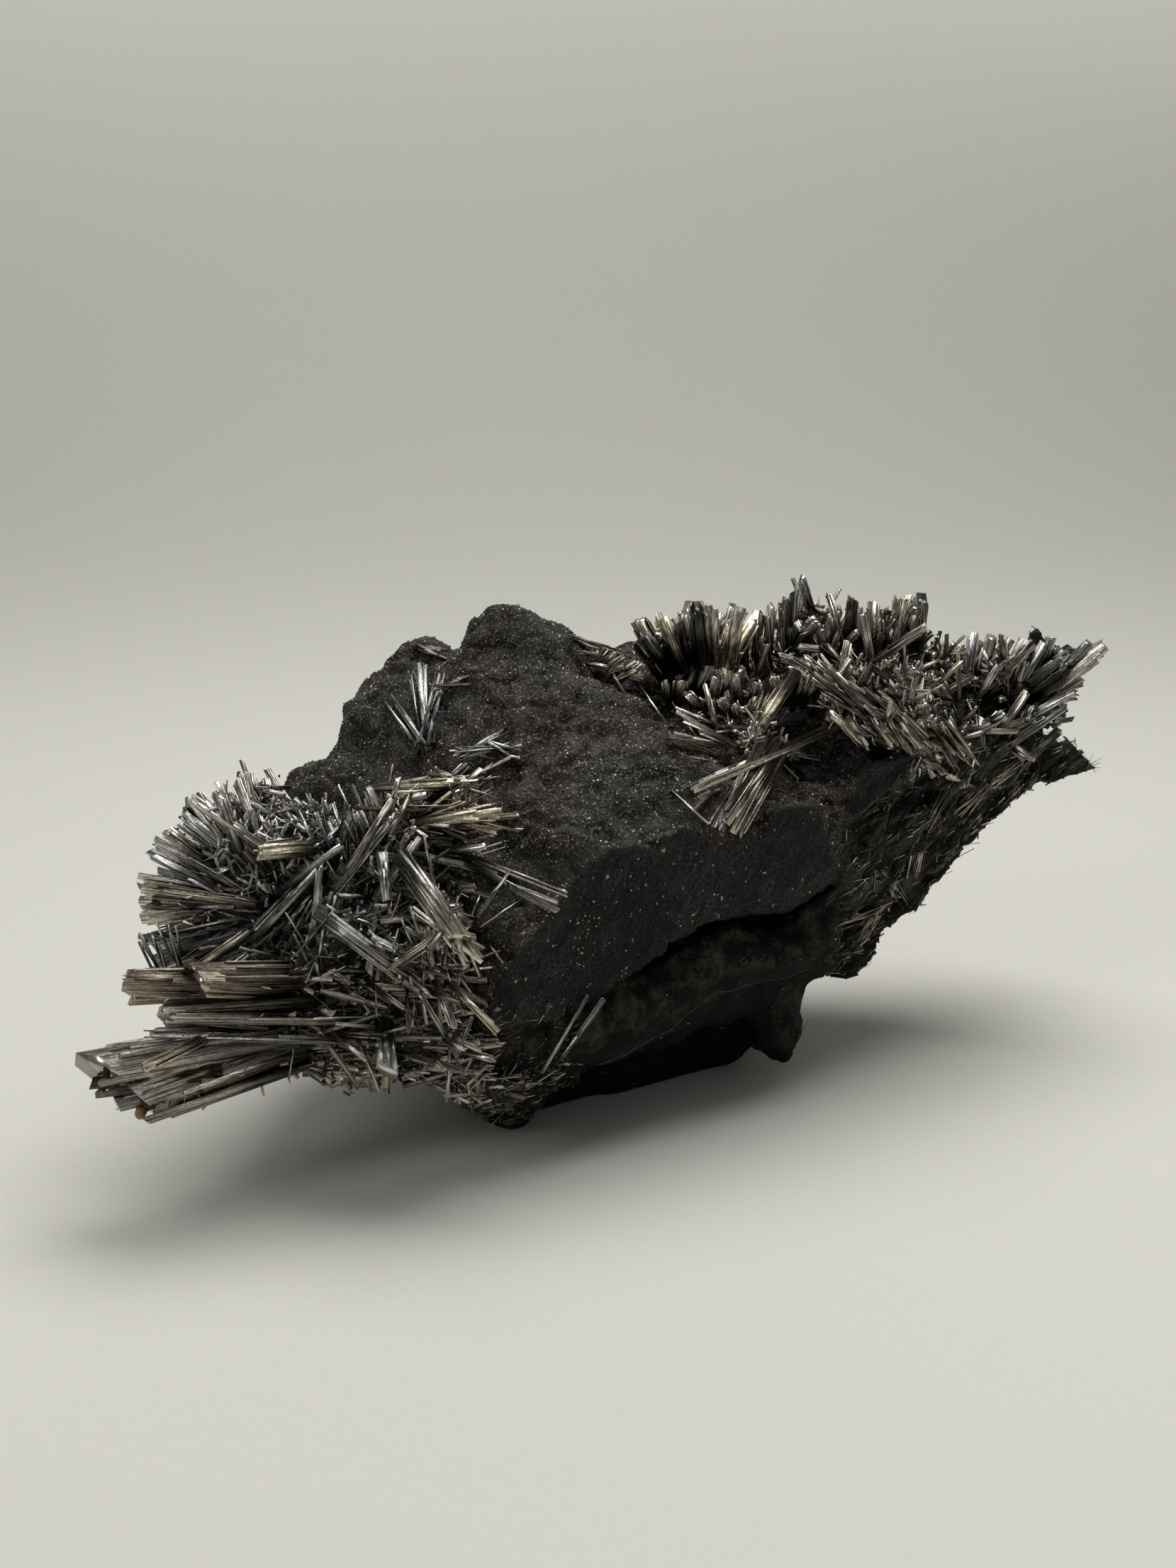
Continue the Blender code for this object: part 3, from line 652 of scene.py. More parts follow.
# Thin pale lips along broken edges of the front, as x and z.
LIPS = [
    [
        (-10.6, 20.2), (-9.6, 18.6), (-5.8, 17.8), (-4.4, 16.8), (-2.4, 18.8), (0.7, 18.6), (2.4, 19.7),
        (4.2, 20.1),
    ],
    [
        (-3.6, 10.9), (-0.3, 9.9), (4.2, 11.1), (8.5, 12.3), (10.7, 13.6), (13.2, 15.3), (19.6, 15.1),
        (23.9, 15.4),
    ],
    [(21.5, 35.7), (23.3, 35), (24.2, 32.4), (24.7, 30.4)],
    [(9.2, 36.4), (10.6, 34.4), (12, 33), (12.3, 31.4)],
    [(9.6, 21.3), (11, 22.3), (12.8, 22.7), (15, 22.4)],
    BLOCK[:6],
    BLOCK[5:] + BLOCK[:1],
]

# Places in the broken ground among the right-hand crystals, where the rock is sunk, roughened and painted
# darker as shade.
CAVITY = [
    (20.5, 3, 40), (24, 3.5, 40.3), (27, 3, 40.5), (17, 1.5, 40), (29, 4, 41), (12.5, 1.5, 40.8),
    (9, 3.5, 42.5), (14.5, 5, 41), (22.5, 0.8, 38.8), (25.2, 0.5, 38.6), (31, 5, 40.5), (19, 7, 41),
    (6, 7, 43.5),
]

# The wedge that ends the rock at its lower right: its point, and which way its two sides face.
WEDGE_TIP = (59.2, 25, 30)
WEDGE_SIDES = np.array([(0.718, 0.033, 0.695), (0.268, -0.335, -0.903)])

# Hollows in the rock, each a centre with its reach and its depth, and which way they all sink.
Hollow = namedtuple("Hollow", "centre reach depth")
HOLLOW_WAY = np.array([0.10, 0.95, -0.30])
HOLLOWS = [Hollow(*row) for row in (
    ((22.5, 1.5, 38.5), 5, 5), ((26.5, 1, 39.2), 4, 4), ((24.8, -3.6, 31.5), 1.2, 1.4),
    ((24.8, -3.4, 33), 1.2, 1.6), ((24.9, -3, 34.6), 1.3, 1.8), ((7, 4.5, 42.5), 3, 2.5),
    ((12, 1, 41), 3, 2.2), ((37, 6.9, 31.8), 2, 4), ((3.2, -5, 38.4), 1.5, 1), ((-3, -4.6, 40.2), 1.8, 1),
    ((10, -6.8, 36.6), 1.3, 1),
)]


def smooth_step(values, low, high):
    t = np.clip((values - low) / (high - low), 0, 1)
    return t * t * (3 - 2 * t)


def depth_inside(points, outline):
    """How far points of a plane lie inside a closed outline: negative outside it."""
    outline = np.array(outline, float)
    distance, inside = np.full(len(points), np.inf), np.zeros(len(points), bool)
    for start, end in zip(outline, np.roll(outline, -1, axis=0)):
        edge = end - start
        away = points - start
        share = np.clip(away @ edge / (edge @ edge), 0, 1)
        distance = np.minimum(distance, np.linalg.norm(away - share[:, None] * edge, axis=1))
        spans = (start[1] > points[:, 1]) != (end[1] > points[:, 1])
        if start[1] != end[1]:
            inside ^= spans & (away[:, 0] < edge[0] * away[:, 1] / edge[1])
    return np.where(inside, distance, -distance)


def remeshed(mesh, voxel, smoothing=0):
    """A new mesh: this one after a voxel remesh and some smoothing."""
    obj = new_object("remeshed", mesh)
    step = obj.modifiers.new("Remesh", "REMESH")
    step.mode = "VOXEL"
    step.voxel_size = voxel * MM
    step = obj.modifiers.new("Smooth", "SMOOTH")
    step.factor, step.iterations = 0.5, smoothing
    graph = bpy.context.evaluated_depsgraph_get()
    made = bpy.data.meshes.new_from_object(obj.evaluated_get(graph))
    bpy.data.objects.remove(obj)
    return made


def move_points(mesh, points):
    """Gives a mesh's vertices new places, in working millimetres."""
    mesh.vertices.foreach_set("co", to_frame(points).astype(np.float32).ravel())
    mesh.update()


def noise_of(points, size, octaves, seed):
    """Fractal noise whose broadest swells are about size across."""
    shift = Vector((seed * 17.3, seed * 5.1, seed * 9.7))
    return np.array([noise.fractal(Vector(p) / size + shift, 1.0, 2.0, octaves) for p in points])


def cells_of(points, size, seed):
    """Rounded mounds with creases between them."""
    shift = Vector((seed * 11.9, seed * 3.7, seed * 7.3))
    return np.array([0.5 - noise.voronoi(Vector(p) / size + shift)[0][0] for p in points])


def drawn_out(points, way, amount):
    """Points shrunk along way, so that noise over them is drawn out along it."""
    way = unit(np.array(way, float))
    return points - (points @ way)[:, None] * way * (1 - amount)


def front_depth(points):
    """How far points lie behind the plane of the cleaved front."""
    return FRONT_OFFSET - points @ FRONT_NORMAL


def on_front(plane):
    """The points of the cleaved front's plane whose x and z these are."""
    y = (FRONT_NORMAL[0] * plane[:, 0] - FRONT_OFFSET) / -FRONT_NORMAL[1]
    return np.stack([plane[:, 0], y, plane[:, 1]], axis=1)


FACE_BAND = 1.6  # the smooth face takes in what lies less than this behind its plane
CRACK_DEPTH = 6.0
BLOCK_DEPTH = 0.4
LOBE_EDGE, LOBE_SWELL = 1.9, 1.5  # how deep the lobe's rim lies, and how much less its middle does


def sculpt_front(points, normals):
    """Sinks the crack behind the cleaved front and bulges the lobe below it."""
    plane, depth = points[:, [0, 2]], front_depth(points)
    facing = smooth_step(normals @ FRONT_NORMAL, -0.1, 0.4) * smooth_step(-depth, -6.5, -5.0)
    lobe = depth_inside(plane, LOBE)
    wanted = np.where((depth_inside(plane, FACET) > -0.2) & (depth < FACE_BAND), 0.0, depth)
    bulge = LOBE_EDGE - LOBE_SWELL * smooth_step(lobe, 0.0, 3.2)
    wanted += (bulge - wanted) * smooth_step(lobe, -0.6, 0.2)
    wanted += (CRACK_DEPTH - wanted) * smooth_step(depth_inside(plane, CRACK), -0.4, 0.2)
    block = smooth_step(depth_inside(plane, BLOCK), -0.3, 0.0) * (depth < 5)
    wanted += (BLOCK_DEPTH - wanted) * block
    return points + FRONT_NORMAL * ((depth - wanted) * np.maximum(facing, block))[:, None]


def cavity(points):
    """Share of the broken ground among the right-hand crystals, which the rock paints darker as shade."""
    away = np.min([np.linalg.norm(points - np.array(place), axis=1) for place in CAVITY], axis=0)
    return 1 - smooth_step(away, 2.4, 4.2)


def sink_hollows(points):
    for hollow in HOLLOWS:
        away = np.linalg.norm(points - hollow.centre, axis=1)
        sunk = hollow.depth * (1 - smooth_step(away, hollow.reach * 0.35, hollow.reach))
        points = points + HOLLOW_WAY * sunk[:, None]
    return points


def sharpen_end(points):
    """Draws the lower right end of the rock out to the wedge it is broken to."""
    near = smooth_step(points[:, 0], 51.5, 55.5) * smooth_step(36.0 - points[:, 2], 0.0, 2.5)
    points = points + near[:, None] * 0.35 * np.maximum(points - (52, 99, 99), 0)
    for side in WEDGE_SIDES:
        outside = np.maximum((points - WEDGE_TIP) @ side, 0)
        points = points - (near * outside)[:, None] * side
    return points


def rock_zones(points, normals):
    """Shares of the cleaved front, the lobe and the fibrous flank at each point."""
    plane, depth = points[:, [0, 2]], front_depth(points)
    facing = smooth_step(normals @ FRONT_NORMAL, 0.35, 0.7)
    x, z = plane.T
    ragged = 0.6 * np.sin(x * 1.7 + 2 * np.sin(z * 0.9)) * np.sin(x * 0.61 + 1.3)
    inside = depth_inside(plane, FACET) + ragged * (z > 28)
    front = smooth_step(inside, -0.5, 0.0) * facing * (depth < FACE_BAND)
    block = smooth_step(depth_inside(plane, BLOCK), -0.3, 0.0) * (depth < 2.5)
    front = np.maximum(front, block)
    flank = smooth_step(points[:, 0] - 0.15 * (points[:, 2] - 25), 25, 29) * (1 - front)
    below = smooth_step(20.5 - points[:, 2] + 0.25 * points[:, 0], -0.5, 1.5)
    lobe = below * (1 - front) * (1 - flank)
    return front, lobe, flank


def make_rock():
    """The rock's skin: the CAD rock with its front sculpted, and with relief of its own in each zone."""
    mesh = remeshed(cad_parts["matrix"].data, FIRST_STEP, 2)
    move_points(mesh, sink_hollows(sculpt_front(to_working(mesh_points(mesh)), mesh_normals(mesh))))
    mesh = remeshed(mesh, ROCK_STEP, 3)
    points, normals = to_working(mesh_points(mesh)), mesh_normals(mesh)
    front, lobe, flank = rock_zones(points, normals)
    drusy = (1 - front) * (1 - lobe) * (1 - flank)
    soft = 0.9 * noise_of(points, 7.0, 3, 1) + 0.5 * cells_of(points, 3.6, 6)
    soft += 0.42 * cells_of(points, 1.4, 7)
    rough = 0.4 * noise_of(points, 3.5, 3, 2) + 0.3 * cells_of(points, 1.5, 8)
    ridges = 1.6 * noise_of(drawn_out(points, FIBRE_WAY, 0.4), 3.2, 3, 3) + 0.5 * cells_of(points, 1.9, 15)
    ridges += 0.5 * noise_of(drawn_out(points, FIBRE_WAY, 0.18), 1.2, 2, 9)
    knobs = cells_of(drawn_out(points, FIBRE_WAY, 0.55), 2.4, 17)
    ridges += 0.9 * knobs
    creases = np.exp(-((noise_of(points, 6.0, 3, 11) / 0.07) ** 2))
    soft -= 0.5 * creases
    broken = cavity(points) * (1 - front)
    jagged = 0.9 * noise_of(points, 2.2, 3, 13) - 0.6
    relief = (drusy * soft + lobe * rough + flank * ridges) * (1 - broken) + broken * jagged
    points += normals * (relief * smooth_step(points[:, 2], 0.1, 1.5))[:, None]
    points = sharpen_end(points)
    points[:, 2] = np.maximum(points[:, 2], 0.0)
    move_points(mesh, points)
    plane = points[:, [0, 2]]
    # Painted shade: the dark attribute darkens the rock's low undersides, the crack, the deep shade under the
    # lobe, the broken hollows, the drusy creases and the gaps between the flank's knobs; it also darkens the
    # block.
    under = smooth_step(-normals[:, 2], 0.15, 0.6) * smooth_step(22 - points[:, 2] + 0.4 * points[:, 0], 0, 6)
    sunk = smooth_step(depth_inside(plane, CRACK), -0.35, 0.05) * smooth_step(front_depth(points), -1.0, 0.6)
    shade = smooth_step(depth_inside(plane, SHADE), -0.2, 0.4) * (points[:, 1] < 8)
    gaps = flank * smooth_step(-knobs, 0.02, 0.3)
    block = smooth_step(depth_inside(plane, BLOCK), 0.1, 0.8)
    dark = np.max([
        0.85 * under, sunk, 0.9 * shade, 0.75 * broken, 0.45 * creases * drusy, 0.7 * gaps, 0.5 * block,
    ], axis=0)
    for name, values in (("front", front), ("lobe", lobe), ("flank", flank), ("dark", dark)):
        add_attribute(mesh, name, values)
    mesh.shade_smooth()
    mesh.materials.clear()
    mesh.materials.append(rock_material())
    skin = link("rock_skin", mesh)
    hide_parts("matrix")
    return skin


def drusy_ground(points, normals):
    front, lobe, flank = rock_zones(points, normals)
    return (1 - front) * (1 - lobe) * (1 - flank) * (1 - cavity(points)) * np.clip(normals[:, 2] + 0.6, 0, 1)


def flank_ground(points, normals):
    return rock_zones(points, normals)[2]


def lobe_ground(points, normals):
    return rock_zones(points, normals)[1] * np.clip(0.3 - normals[:, 1], 0, 1)


def foot_ground(points, normals):
    return (points[:, 0] < -2) * (points[:, 2] < 19) * (points[:, 2] > 2) * np.clip(0.2 - normals[:, 1], 0, 1)


def broken_ground(points, normals):
    return cavity(points)


def make_grains(rock):
    """Tiny crystal points, half sunk in the drusy ground."""
    rng = np.random.default_rng(SEEDS["druse"])
    points, normals = surface_samples(rock, GRAINS, rng, drusy_ground)
    ways = unit(normals + random_ways(GRAINS, rng) * 0.7)
    size = 0.1 + 0.2 * rng.random(GRAINS) ** 2
    grains = Needles(3)
    grains.add(
        points - ways * size[:, None], points + ways * size[:, None] * 0.5, size, size * 0.9, 0.5,
        rng.random(GRAINS) ** 2, rng,
    )
    grains.build("druse", grain_material())


# Where strands of fibres run over the flank, from one place to the next.
STRAND_FIBRES = 16  # fibres in each
STRANDS = [
    ((38.4, 7.1, 32.4), (36.3, 7.2, 28.0)), ((36.3, 7.2, 28.0), (35.9, 7.8, 23.0)),
    ((32.2, 4.8, 23.6), (34.9, 8.7, 18.9)), ((26.9, -1.0, 20.4), (31.4, 3.5, 19.5)),
    ((29.5, 3.4, 16.2), (31.4, 3.5, 19.5)), ((48.4, 14.8, 33.8), (44.7, 11.6, 32.2)),
    ((44.7, 11.6, 32.2), (40.7, 10.6, 28.8)),
]

# Patches of tiny bright needles on the cleaved front: centre and spread as x and z, count and hue.
GLINTS = [((-1.8, 25.4), (1.3, 1.7), 34, 0.72), ((8, 27), (7.0, 4.0), 60, 0.5)]


def make_fibres(rock, metal):
    """Fine silky fibres that lie over the rock's flank, lobe and foot."""
    rng = np.random.default_rng(SEEDS["fibres"])
    fibres = Needles(3)
    for ground, count, length, width in (
        (flank_ground, 3200, (0.8, 3.6), (0.06, 0.3)),
        (lobe_ground, 260, (0.5, 1.6), (0.05, 0.14)),
        (foot_ground, 1700, (0.6, 2.2), (0.06, 0.26)),
    ):
        add_strewn(
            fibres, rock, rng, ground, count, length, width, stand=(-0.12, 0.1), hue=0.62, grain=FIBRE_WAY,
            tones=(0.15, 1.0),
        )
    for centre, spread, count, hue in GLINTS:
        plane = np.array(centre) + rng.normal(size=(count, 2)) * spread
        places = on_front(plane[depth_inside(plane, FACET) > 0.3])
        way = unit(rng.normal(size=places.shape) * 0.4 + STREAK_WAY)
        way *= rng.uniform(0.05, 0.16, (len(places), 1))
        size = rng.uniform(0.1, 0.2, len(places))
        fibres.add(places - way, places + way, size, size, hue, rng.uniform(0.6, 1.0, len(places)), rng)
    ends = np.repeat(np.array(STRANDS), STRAND_FIBRES, axis=0)
    count = len(ends)
    ends = ends + rng.normal(size=(count, 1, 3)) * 0.5 + rng.normal(size=ends.shape) * 0.3
    tree = surface_tree(rock)
    ends = np.array([tree.find_nearest(point)[0] for point in to_frame(ends.reshape(-1, 3))])
    ends = to_working(ends).reshape(count, 2, 3)
    fibres.add(
        ends[:, 0], ends[:, 1], rng.uniform(0.12, 0.32, count), rng.uniform(0.1, 0.2, count),
        rng.normal(0.66, 0.08, count), rng.uniform(0.5, 1.0, count), rng,
    )
    fibres.build("rock_fibres", metal)


# ---------------------------------------------------------------- crystals

BLUE, STEEL, WARM, BRASS, BRONZE = 0.22, 0.4, 0.62, 0.78, 0.92


def columns_of(*rows):
    return [Column(*row) for row in rows]


def seen_of(*rows):
    return [Seen(*row) for row in rows]


# Crystals of the left-hand mass that are placed one by one, the largest among them.
LEFT_COLUMNS = columns_of(
    ((-26, -23, 23.4), (-38.6, -30, 26), 2.5, BRONZE), ((-29, -24, 23), (-44.8, -31, 25.6), 2.9, BRONZE),
    ((-27, -22, 21.4), (-44.6, -31, 23.9), 1.9, BRONZE), ((-26, -23, 20.4), (-42, -30.4, 22.3), 1.7, WARM),
    ((-20, -23.6, 18.4), (-41.8, -30, 21.2), 1.3, WARM),
    ((-20, -24, 16.3), (-43.3, -31, 20.2), 1.1, STEEL), ((-30, -24, 17), (-47.9, -33, 17.3), 5, WARM),
    ((-28, -22.6, 16), (-43.8, -33.2, 14.2), 5.2, WARM),
    ((-30, -23, 14.2), (-43.2, -31.8, 13.2), 3.4, WARM),
    ((-31, -27, 18.6), (-46.6, -32, 18.9), 1.5, STEEL), ((-33, -26, 28), (-26.8, -24, 34.3), 1.1, STEEL),
    ((-27.8, -24, 26), (-26.4, -25, 35.3), 0.9, STEEL), ((-19, -21, 34.6), (-12.9, -28, 28.5), 2.6, WARM),
    ((-17.6, -21.6, 33.6), (-14.2, -28, 27.8), 1.9, STEEL),
    ((-27, -25, 30.5), (-16.9, -27.4, 23.3), 1.9, STEEL),
    ((-19, -22.5, 35.8), (-11.7, -27, 29.2), 1, STEEL), ((-13, -26.4, 30), (-20, -27.4, 25.4), 1.4, WARM),
    ((-20.9, -25, 18.8), (-20.2, -29.4, 15.4), 2.4, STEEL), ((-26, -17, 35), (-33, -22, 35.4), 1.9, BRASS),
    ((-22.5, -15, 39.8), (-11.8, -17, 41.3), 1.1, BRASS), ((-20, -18, 36.4), (-9, -20, 39.1), 1.3, BRASS),
    ((-18, -20, 34.6), (-10.3, -23, 36.2), 1.2, STEEL), ((-14, -19, 34.6), (-2.5, -22.2, 31), 0.8, WARM),
    ((-13, -20, 33.8), (-3.4, -24.4, 30.1), 1, WARM),
    ((-8.4, -22, 33.6), (-11.6, -25.4, 29.9), 0.5, STEEL),
    ((0.8, -20.6, 19.6), (-4.3, -19.4, 10.4), 0.8, STEEL),
    ((0.2, -20.4, 19), (-5.6, -19.6, 10.8), 0.6, STEEL),
    ((-13.6, -26, 15.6), (-17.4, -27.4, 23.2), 0.7, STEEL),
    ((-23.4, -26, 12.2), (-28.6, -27.4, 20.2), 0.7, WARM),
    ((-14, -26, 23.5), (-21.8, -26.6, 28.6), 0.8, STEEL), ((-22.2, -21, 38.4), (-25.6, -21, 31), 1, STEEL),
    ((-20.4, -19, 40), (-24.4, -21.6, 33.4), 0.9, WARM), ((-17.2, -22, 34.8), (-21.6, -23, 31), 1.2, WARM),
    ((-20.8, -22.4, 35.6), (-20.2, -24.4, 31.2), 1.5, STEEL),
    ((-31, -22, 31), (-24.6, -22.6, 36.4), 0.9, STEEL),
)

# Needles of the left-hand mass that can be told apart in the photograph.
LEFT_TANGLE = seen_of(
    ((606, 1103), (529, 1113), 14, WARM, 0.8), ((560, 1117), (614, 1115), 6, BRASS, 1),
    ((609, 1111), (675, 1101), 6, BRASS, 0.6), ((629, 1152), (698, 1109), 3, STEEL, 0.8),
    ((621, 1152), (675, 1127), 3, WARM, 0.8), ((601, 1159), (710, 1143), 10, BRASS, 0.8),
    ((641, 1160), (698, 1162), 3, WARM, 0.6), ((687, 1170), (740, 1170), 2, WARM, 0.5),
    ((629, 1172), (690, 1182), 3, STEEL, 0.7), ((609, 1204), (686, 1198), 12, STEEL, 0.9),
    ((681, 1215), (801, 1259), 6, STEEL, 0.7), ((647, 1221), (790, 1275), 10, STEEL, 0.9),
    ((715, 1232), (672, 1295), 4, STEEL, 1.2), ((735, 1261), (675, 1309), 3, WARM, 1),
    ((679, 1255), (665, 1295), 2, STEEL, 1.4), ((583, 1221), (609, 1249), 17, STEEL, 0.8),
    ((600, 1243), (667, 1309), 12, WARM, 1), ((589, 1258), (629, 1327), 13, STEEL, 1.2),
    ((606, 1261), (647, 1315), 11, WARM, 1), ((566, 1295), (586, 1344), 3, STEEL, 1),
    ((578, 1278), (598, 1338), 7, STEEL, 0.4), ((598, 1180), (619, 1255), 6, WARM, 1.2),
    ((523, 1198), (535, 1243), 11, STEEL, 1.2), ((566, 1215), (538, 1242), 6, BRASS, 1.4),
    ((530, 1155), (546, 1189), 7, WARM, 1), ((512, 1149), (466, 1186), 5, STEEL, 1),
    ((526, 1229), (486, 1278), 4, STEEL, 1.2), ((466, 1192), (473, 1278), 6, STEEL, 0.8),
    ((444, 1243), (440, 1218), 9, STEEL, 1.8), ((447, 1229), (358, 1315), 16, STEEL, 1.2),
    ((456, 1234), (439, 1304), 7, STEEL, 1), ((472, 1281), (417, 1347), 6, WARM, 1),
    ((532, 1261), (472, 1281), 8, STEEL, 1.2), ((583, 1372), (469, 1316), 13, WARM, 1),
    ((520, 1335), (472, 1305), 7, WARM, 1.2), ((543, 1324), (518, 1338), 6, BRASS, 1.6),
    ((543, 1321), (592, 1355), 7, WARM, 1.2), ((667, 1312), (589, 1350), 11, WARM, 1.2),
    ((638, 1372), (695, 1365), 4, WARM, 0.8), ((684, 1327), (710, 1364), 6, WARM, 0.6),
    ((445, 1175), (368, 1194), 16, BRASS, 1.4), ((450, 1154), (397, 1165), 4, WARM, 1),
    ((391, 1172), (330, 1131), 4, STEEL, 1.2), ((328, 1225), (316, 1194), 4, BRASS, 1.6),
    ((332, 1264), (265, 1239), 5, STEEL, 1.4), ((388, 1278), (332, 1266), 4, STEEL, 1.2),
    ((324, 1298), (254, 1308), 4, BRASS, 1.2), ((332, 1335), (263, 1337), 3, STEEL, 1),
    ((338, 1337), (394, 1351), 5, STEEL, 1.2), ((223, 1365), (198, 1327), 3, STEEL, 1.6),
    ((232, 1364), (213, 1319), 3, STEEL, 1.4), ((237, 1362), (220, 1301), 3, STEEL, 1.2),
    ((253, 1357), (237, 1306), 3, STEEL, 1.2), ((258, 1354), (247, 1304), 3, STEEL, 1),
    ((248, 1365), (240, 1334), 3, WARM, 1.6), ((405, 1259), (386, 1228), 4, STEEL, 1.2),
    ((413, 1401), (278, 1387), 37, BRONZE, 1.2), ((284, 1387), (175, 1384), 31, BRONZE, 1.2),
    ((266, 1404), (177, 1400), 12, BRONZE, 1.2), ((381, 1426), (228, 1417), 19, STEEL, 0.8),
    ((378, 1450), (225, 1437), 17, BRONZE, 0.8), ((265, 1451), (198, 1459), 9, STEEL, 1.2),
    ((284, 1464), (181, 1478), 7, WARM, 1), ((309, 1468), (200, 1509), 19, BRASS, 1.8),
    ((403, 1440), (560, 1442), 7, WARM, 1), ((407, 1522), (419, 1443), 3, WARM, 1.4),
    ((498, 1428), (513, 1381), 4, WARM, 1.2), ((554, 1433), (440, 1436), 3, STEEL, 1.6),
    ((474, 1444), (570, 1452), 7, WARM, 1), ((531, 1435), (530, 1396), 3, STEEL, 1.4),
    ((502, 1429), (512, 1385), 2, STEEL, 1.4), ((523, 1436), (513, 1416), 6, STEEL, 1.2),
    ((601, 1492), (640, 1507), 6, WARM, 1), ((643, 1541), (671, 1481), 3, STEEL, 1.4),
    ((599, 1484), (630, 1463), 4, WARM, 1.2), ((456, 1526), (469, 1536), 5, WARM, 1),
    ((786, 1513), (830, 1435), 11, STEEL, 0.6), ((775, 1513), (814, 1463), 4, STEEL, 0.6),
    ((752, 1536), (786, 1505), 4, WARM, 0.6),
)

# The dark broken ends between the two lowest bundles on the left.
LEFT_ENDS = columns_of(
    ((-36, -30, 16), (-48.4, -33, 16), 1.6, BRONZE), ((-38, -30.5, 15.4), (-47.3, -33.2, 15.2), 1.8, WARM),
    ((-38, -30.5, 14.8), (-45.9, -33.2, 13.9), 1.8, STEEL),
)

# Needles side by side in the left-hand mass, which fill it between the needles above.
LEFT_ROWS = [
    Row((-43.1, -24.8, 24), (-39.8, -23.4, 23.4), (-0.3, -0.1, 0.95), 7, (4.2, 5.4), (0.4, 0.6), STEEL),
    Row((-30, -25, 20.6), (-30, -26, 18.4), (-0.95, -0.32, 0.08), 6, (11, 13.5), (0.9, 1.5), WARM),
    Row((-28, -14, 30), (-20, -15, 35), (-0.35, 0.1, 0.92), 26, (4, 7), (0.4, 0.9), STEEL, 0.3),
    Row((-29, -13, 31), (-21, -13, 36), (0.45, -0.1, 0.85), 20, (4, 7), (0.3, 0.8), STEEL, 0.3),
    Row((-30, -19, 29), (-24, -21, 31), (-0.5, -0.1, -0.7), 14, (4, 7), (0.3, 0.8), STEEL, 0.25),
    Row((-20, -17, 37), (-13, -18, 38), (0.9, -0.2, 0.12), 26, (4, 7.5), (0.3, 0.8), BRASS, 0.2),
    Row((-27, -26, 23), (-13, -26, 24), (0.6, -0.3, -0.4), 16, (4, 7), (0.4, 1), WARM, 0.5),
    Row((-27, -26, 18), (-12, -26, 17), (0.8, -0.2, 0.1), 22, (3, 6), (0.4, 1), WARM, 0.6),
]

# The layers of the left-hand fan, from the front to the back.
LEFT_FANS = [
    Fan(
        (-31, -19, 28.5), (-9, 0, 2.6), (0.2, -0.9, 0.3), 2.1, 44, (-0.15, 0.25), (13.2, 14.6), (0.8, 1.8),
        0.5, (0.4, 1),
    ),
    Fan(
        (-30.5, -14, 28), (-8, 0, 4), (0.1, -0.9, 0.3), 1.75, 40, (-0.15, 0.25), (11.8, 13.2), (0.8, 1.8),
        0.6, (0.4, 1),
    ),
    Fan(
        (-29.6, -8, 28.4), (-9, 0, 4.4), (0.1, -0.9, 0.2), 1.4, 32, (-0.6, 0.1), (10.8, 12.2), (0.8, 1.8),
        0.5, (0.4, 1),
    ),
    Fan(
        (-31, -11, 28), (-0.8, 0.5, 0.25), (0.2, 0.3, 0.9), 1.4, 24, (-0.6, 0.5), (8.2, 10), (0.9, 1.8),
        0.5,
    ),
]

# Crystals of the right-hand mass that are placed one by one.
RIGHT_COLUMNS = columns_of(
    ((16, 5, 39.4), (8.2, 0, 44.2), 0.6, WARM), ((16, 3, 39), (8.1, -3, 41.4), 0.8, WARM),
    ((16.4, 2, 38.6), (9.2, -3.4, 39.6), 0.7, STEEL), ((24.5, 3, 41), (9.3, -9, 37.8), 0.8, WARM),
    ((19.2, 2.4, 40.4), (13.5, -10, 34.4), 0.9, STEEL), ((17, 1, 40.4), (12.1, -10, 34.8), 0.7, STEEL),
    ((18.4, 2, 39.6), (14.4, -9.6, 34.2), 0.6, STEEL), ((18, 1, 40), (11, -9.4, 35.8), 0.5, STEEL),
    ((21.6, 6, 46.4), (16, -1, 40.2), 2, BRASS), ((27.5, 17, 45), (26.5, 17.4, 51.5), 1.4, WARM),
    ((31.1, 19, 45), (31, 18, 51.9), 0.9, WARM), ((26.9, 14, 45), (23.6, 14, 50.8), 1.6, WARM),
    ((46, 21, 39), (59.8, 25.6, 44.7), 2.4, STEEL), ((45, 21, 38), (55.6, 24, 43.6), 2.4, STEEL),
    ((45, 21, 38), (56.4, 24, 41.6), 2.4, STEEL), ((44, 20, 41), (50.2, 21.6, 45.9), 2, STEEL),
    ((36.3, 18, 44), (33.8, 17, 50.3), 1.1, WARM), ((47, 19, 38.3), (46.6, 19.4, 47), 1.3, WARM),
    ((22.4, 19, 45), (23.5, 19.6, 53.2), 2.2, STEEL), ((43, 19, 40), (47.4, 20, 47.2), 1.9, STEEL),
    ((44, 19, 40), (45.2, 19.6, 47.4), 2, WARM), ((46.5, 20, 40), (49.6, 21, 46.8), 2.2, WARM),
    ((42, 18.5, 41), (43, 19, 47.7), 1.8, STEEL),
)

# Four needles that cross the dark gap in front of the comb, which are placed one by one.
GAP_NEEDLES = columns_of(
    ((15.5, -4.5, 40.2), (9.9, -10.9, 36.2), 0.6, WARM), ((17, -3.4, 40.6), (11.4, -11.8, 35), 0.4, STEEL),
    ((16.6, -3.6, 40.2), (12, -12, 34.6), 0.4, STEEL), ((19, -3.2, 40.2), (13.8, -12.2, 34), 1, WARM),
)

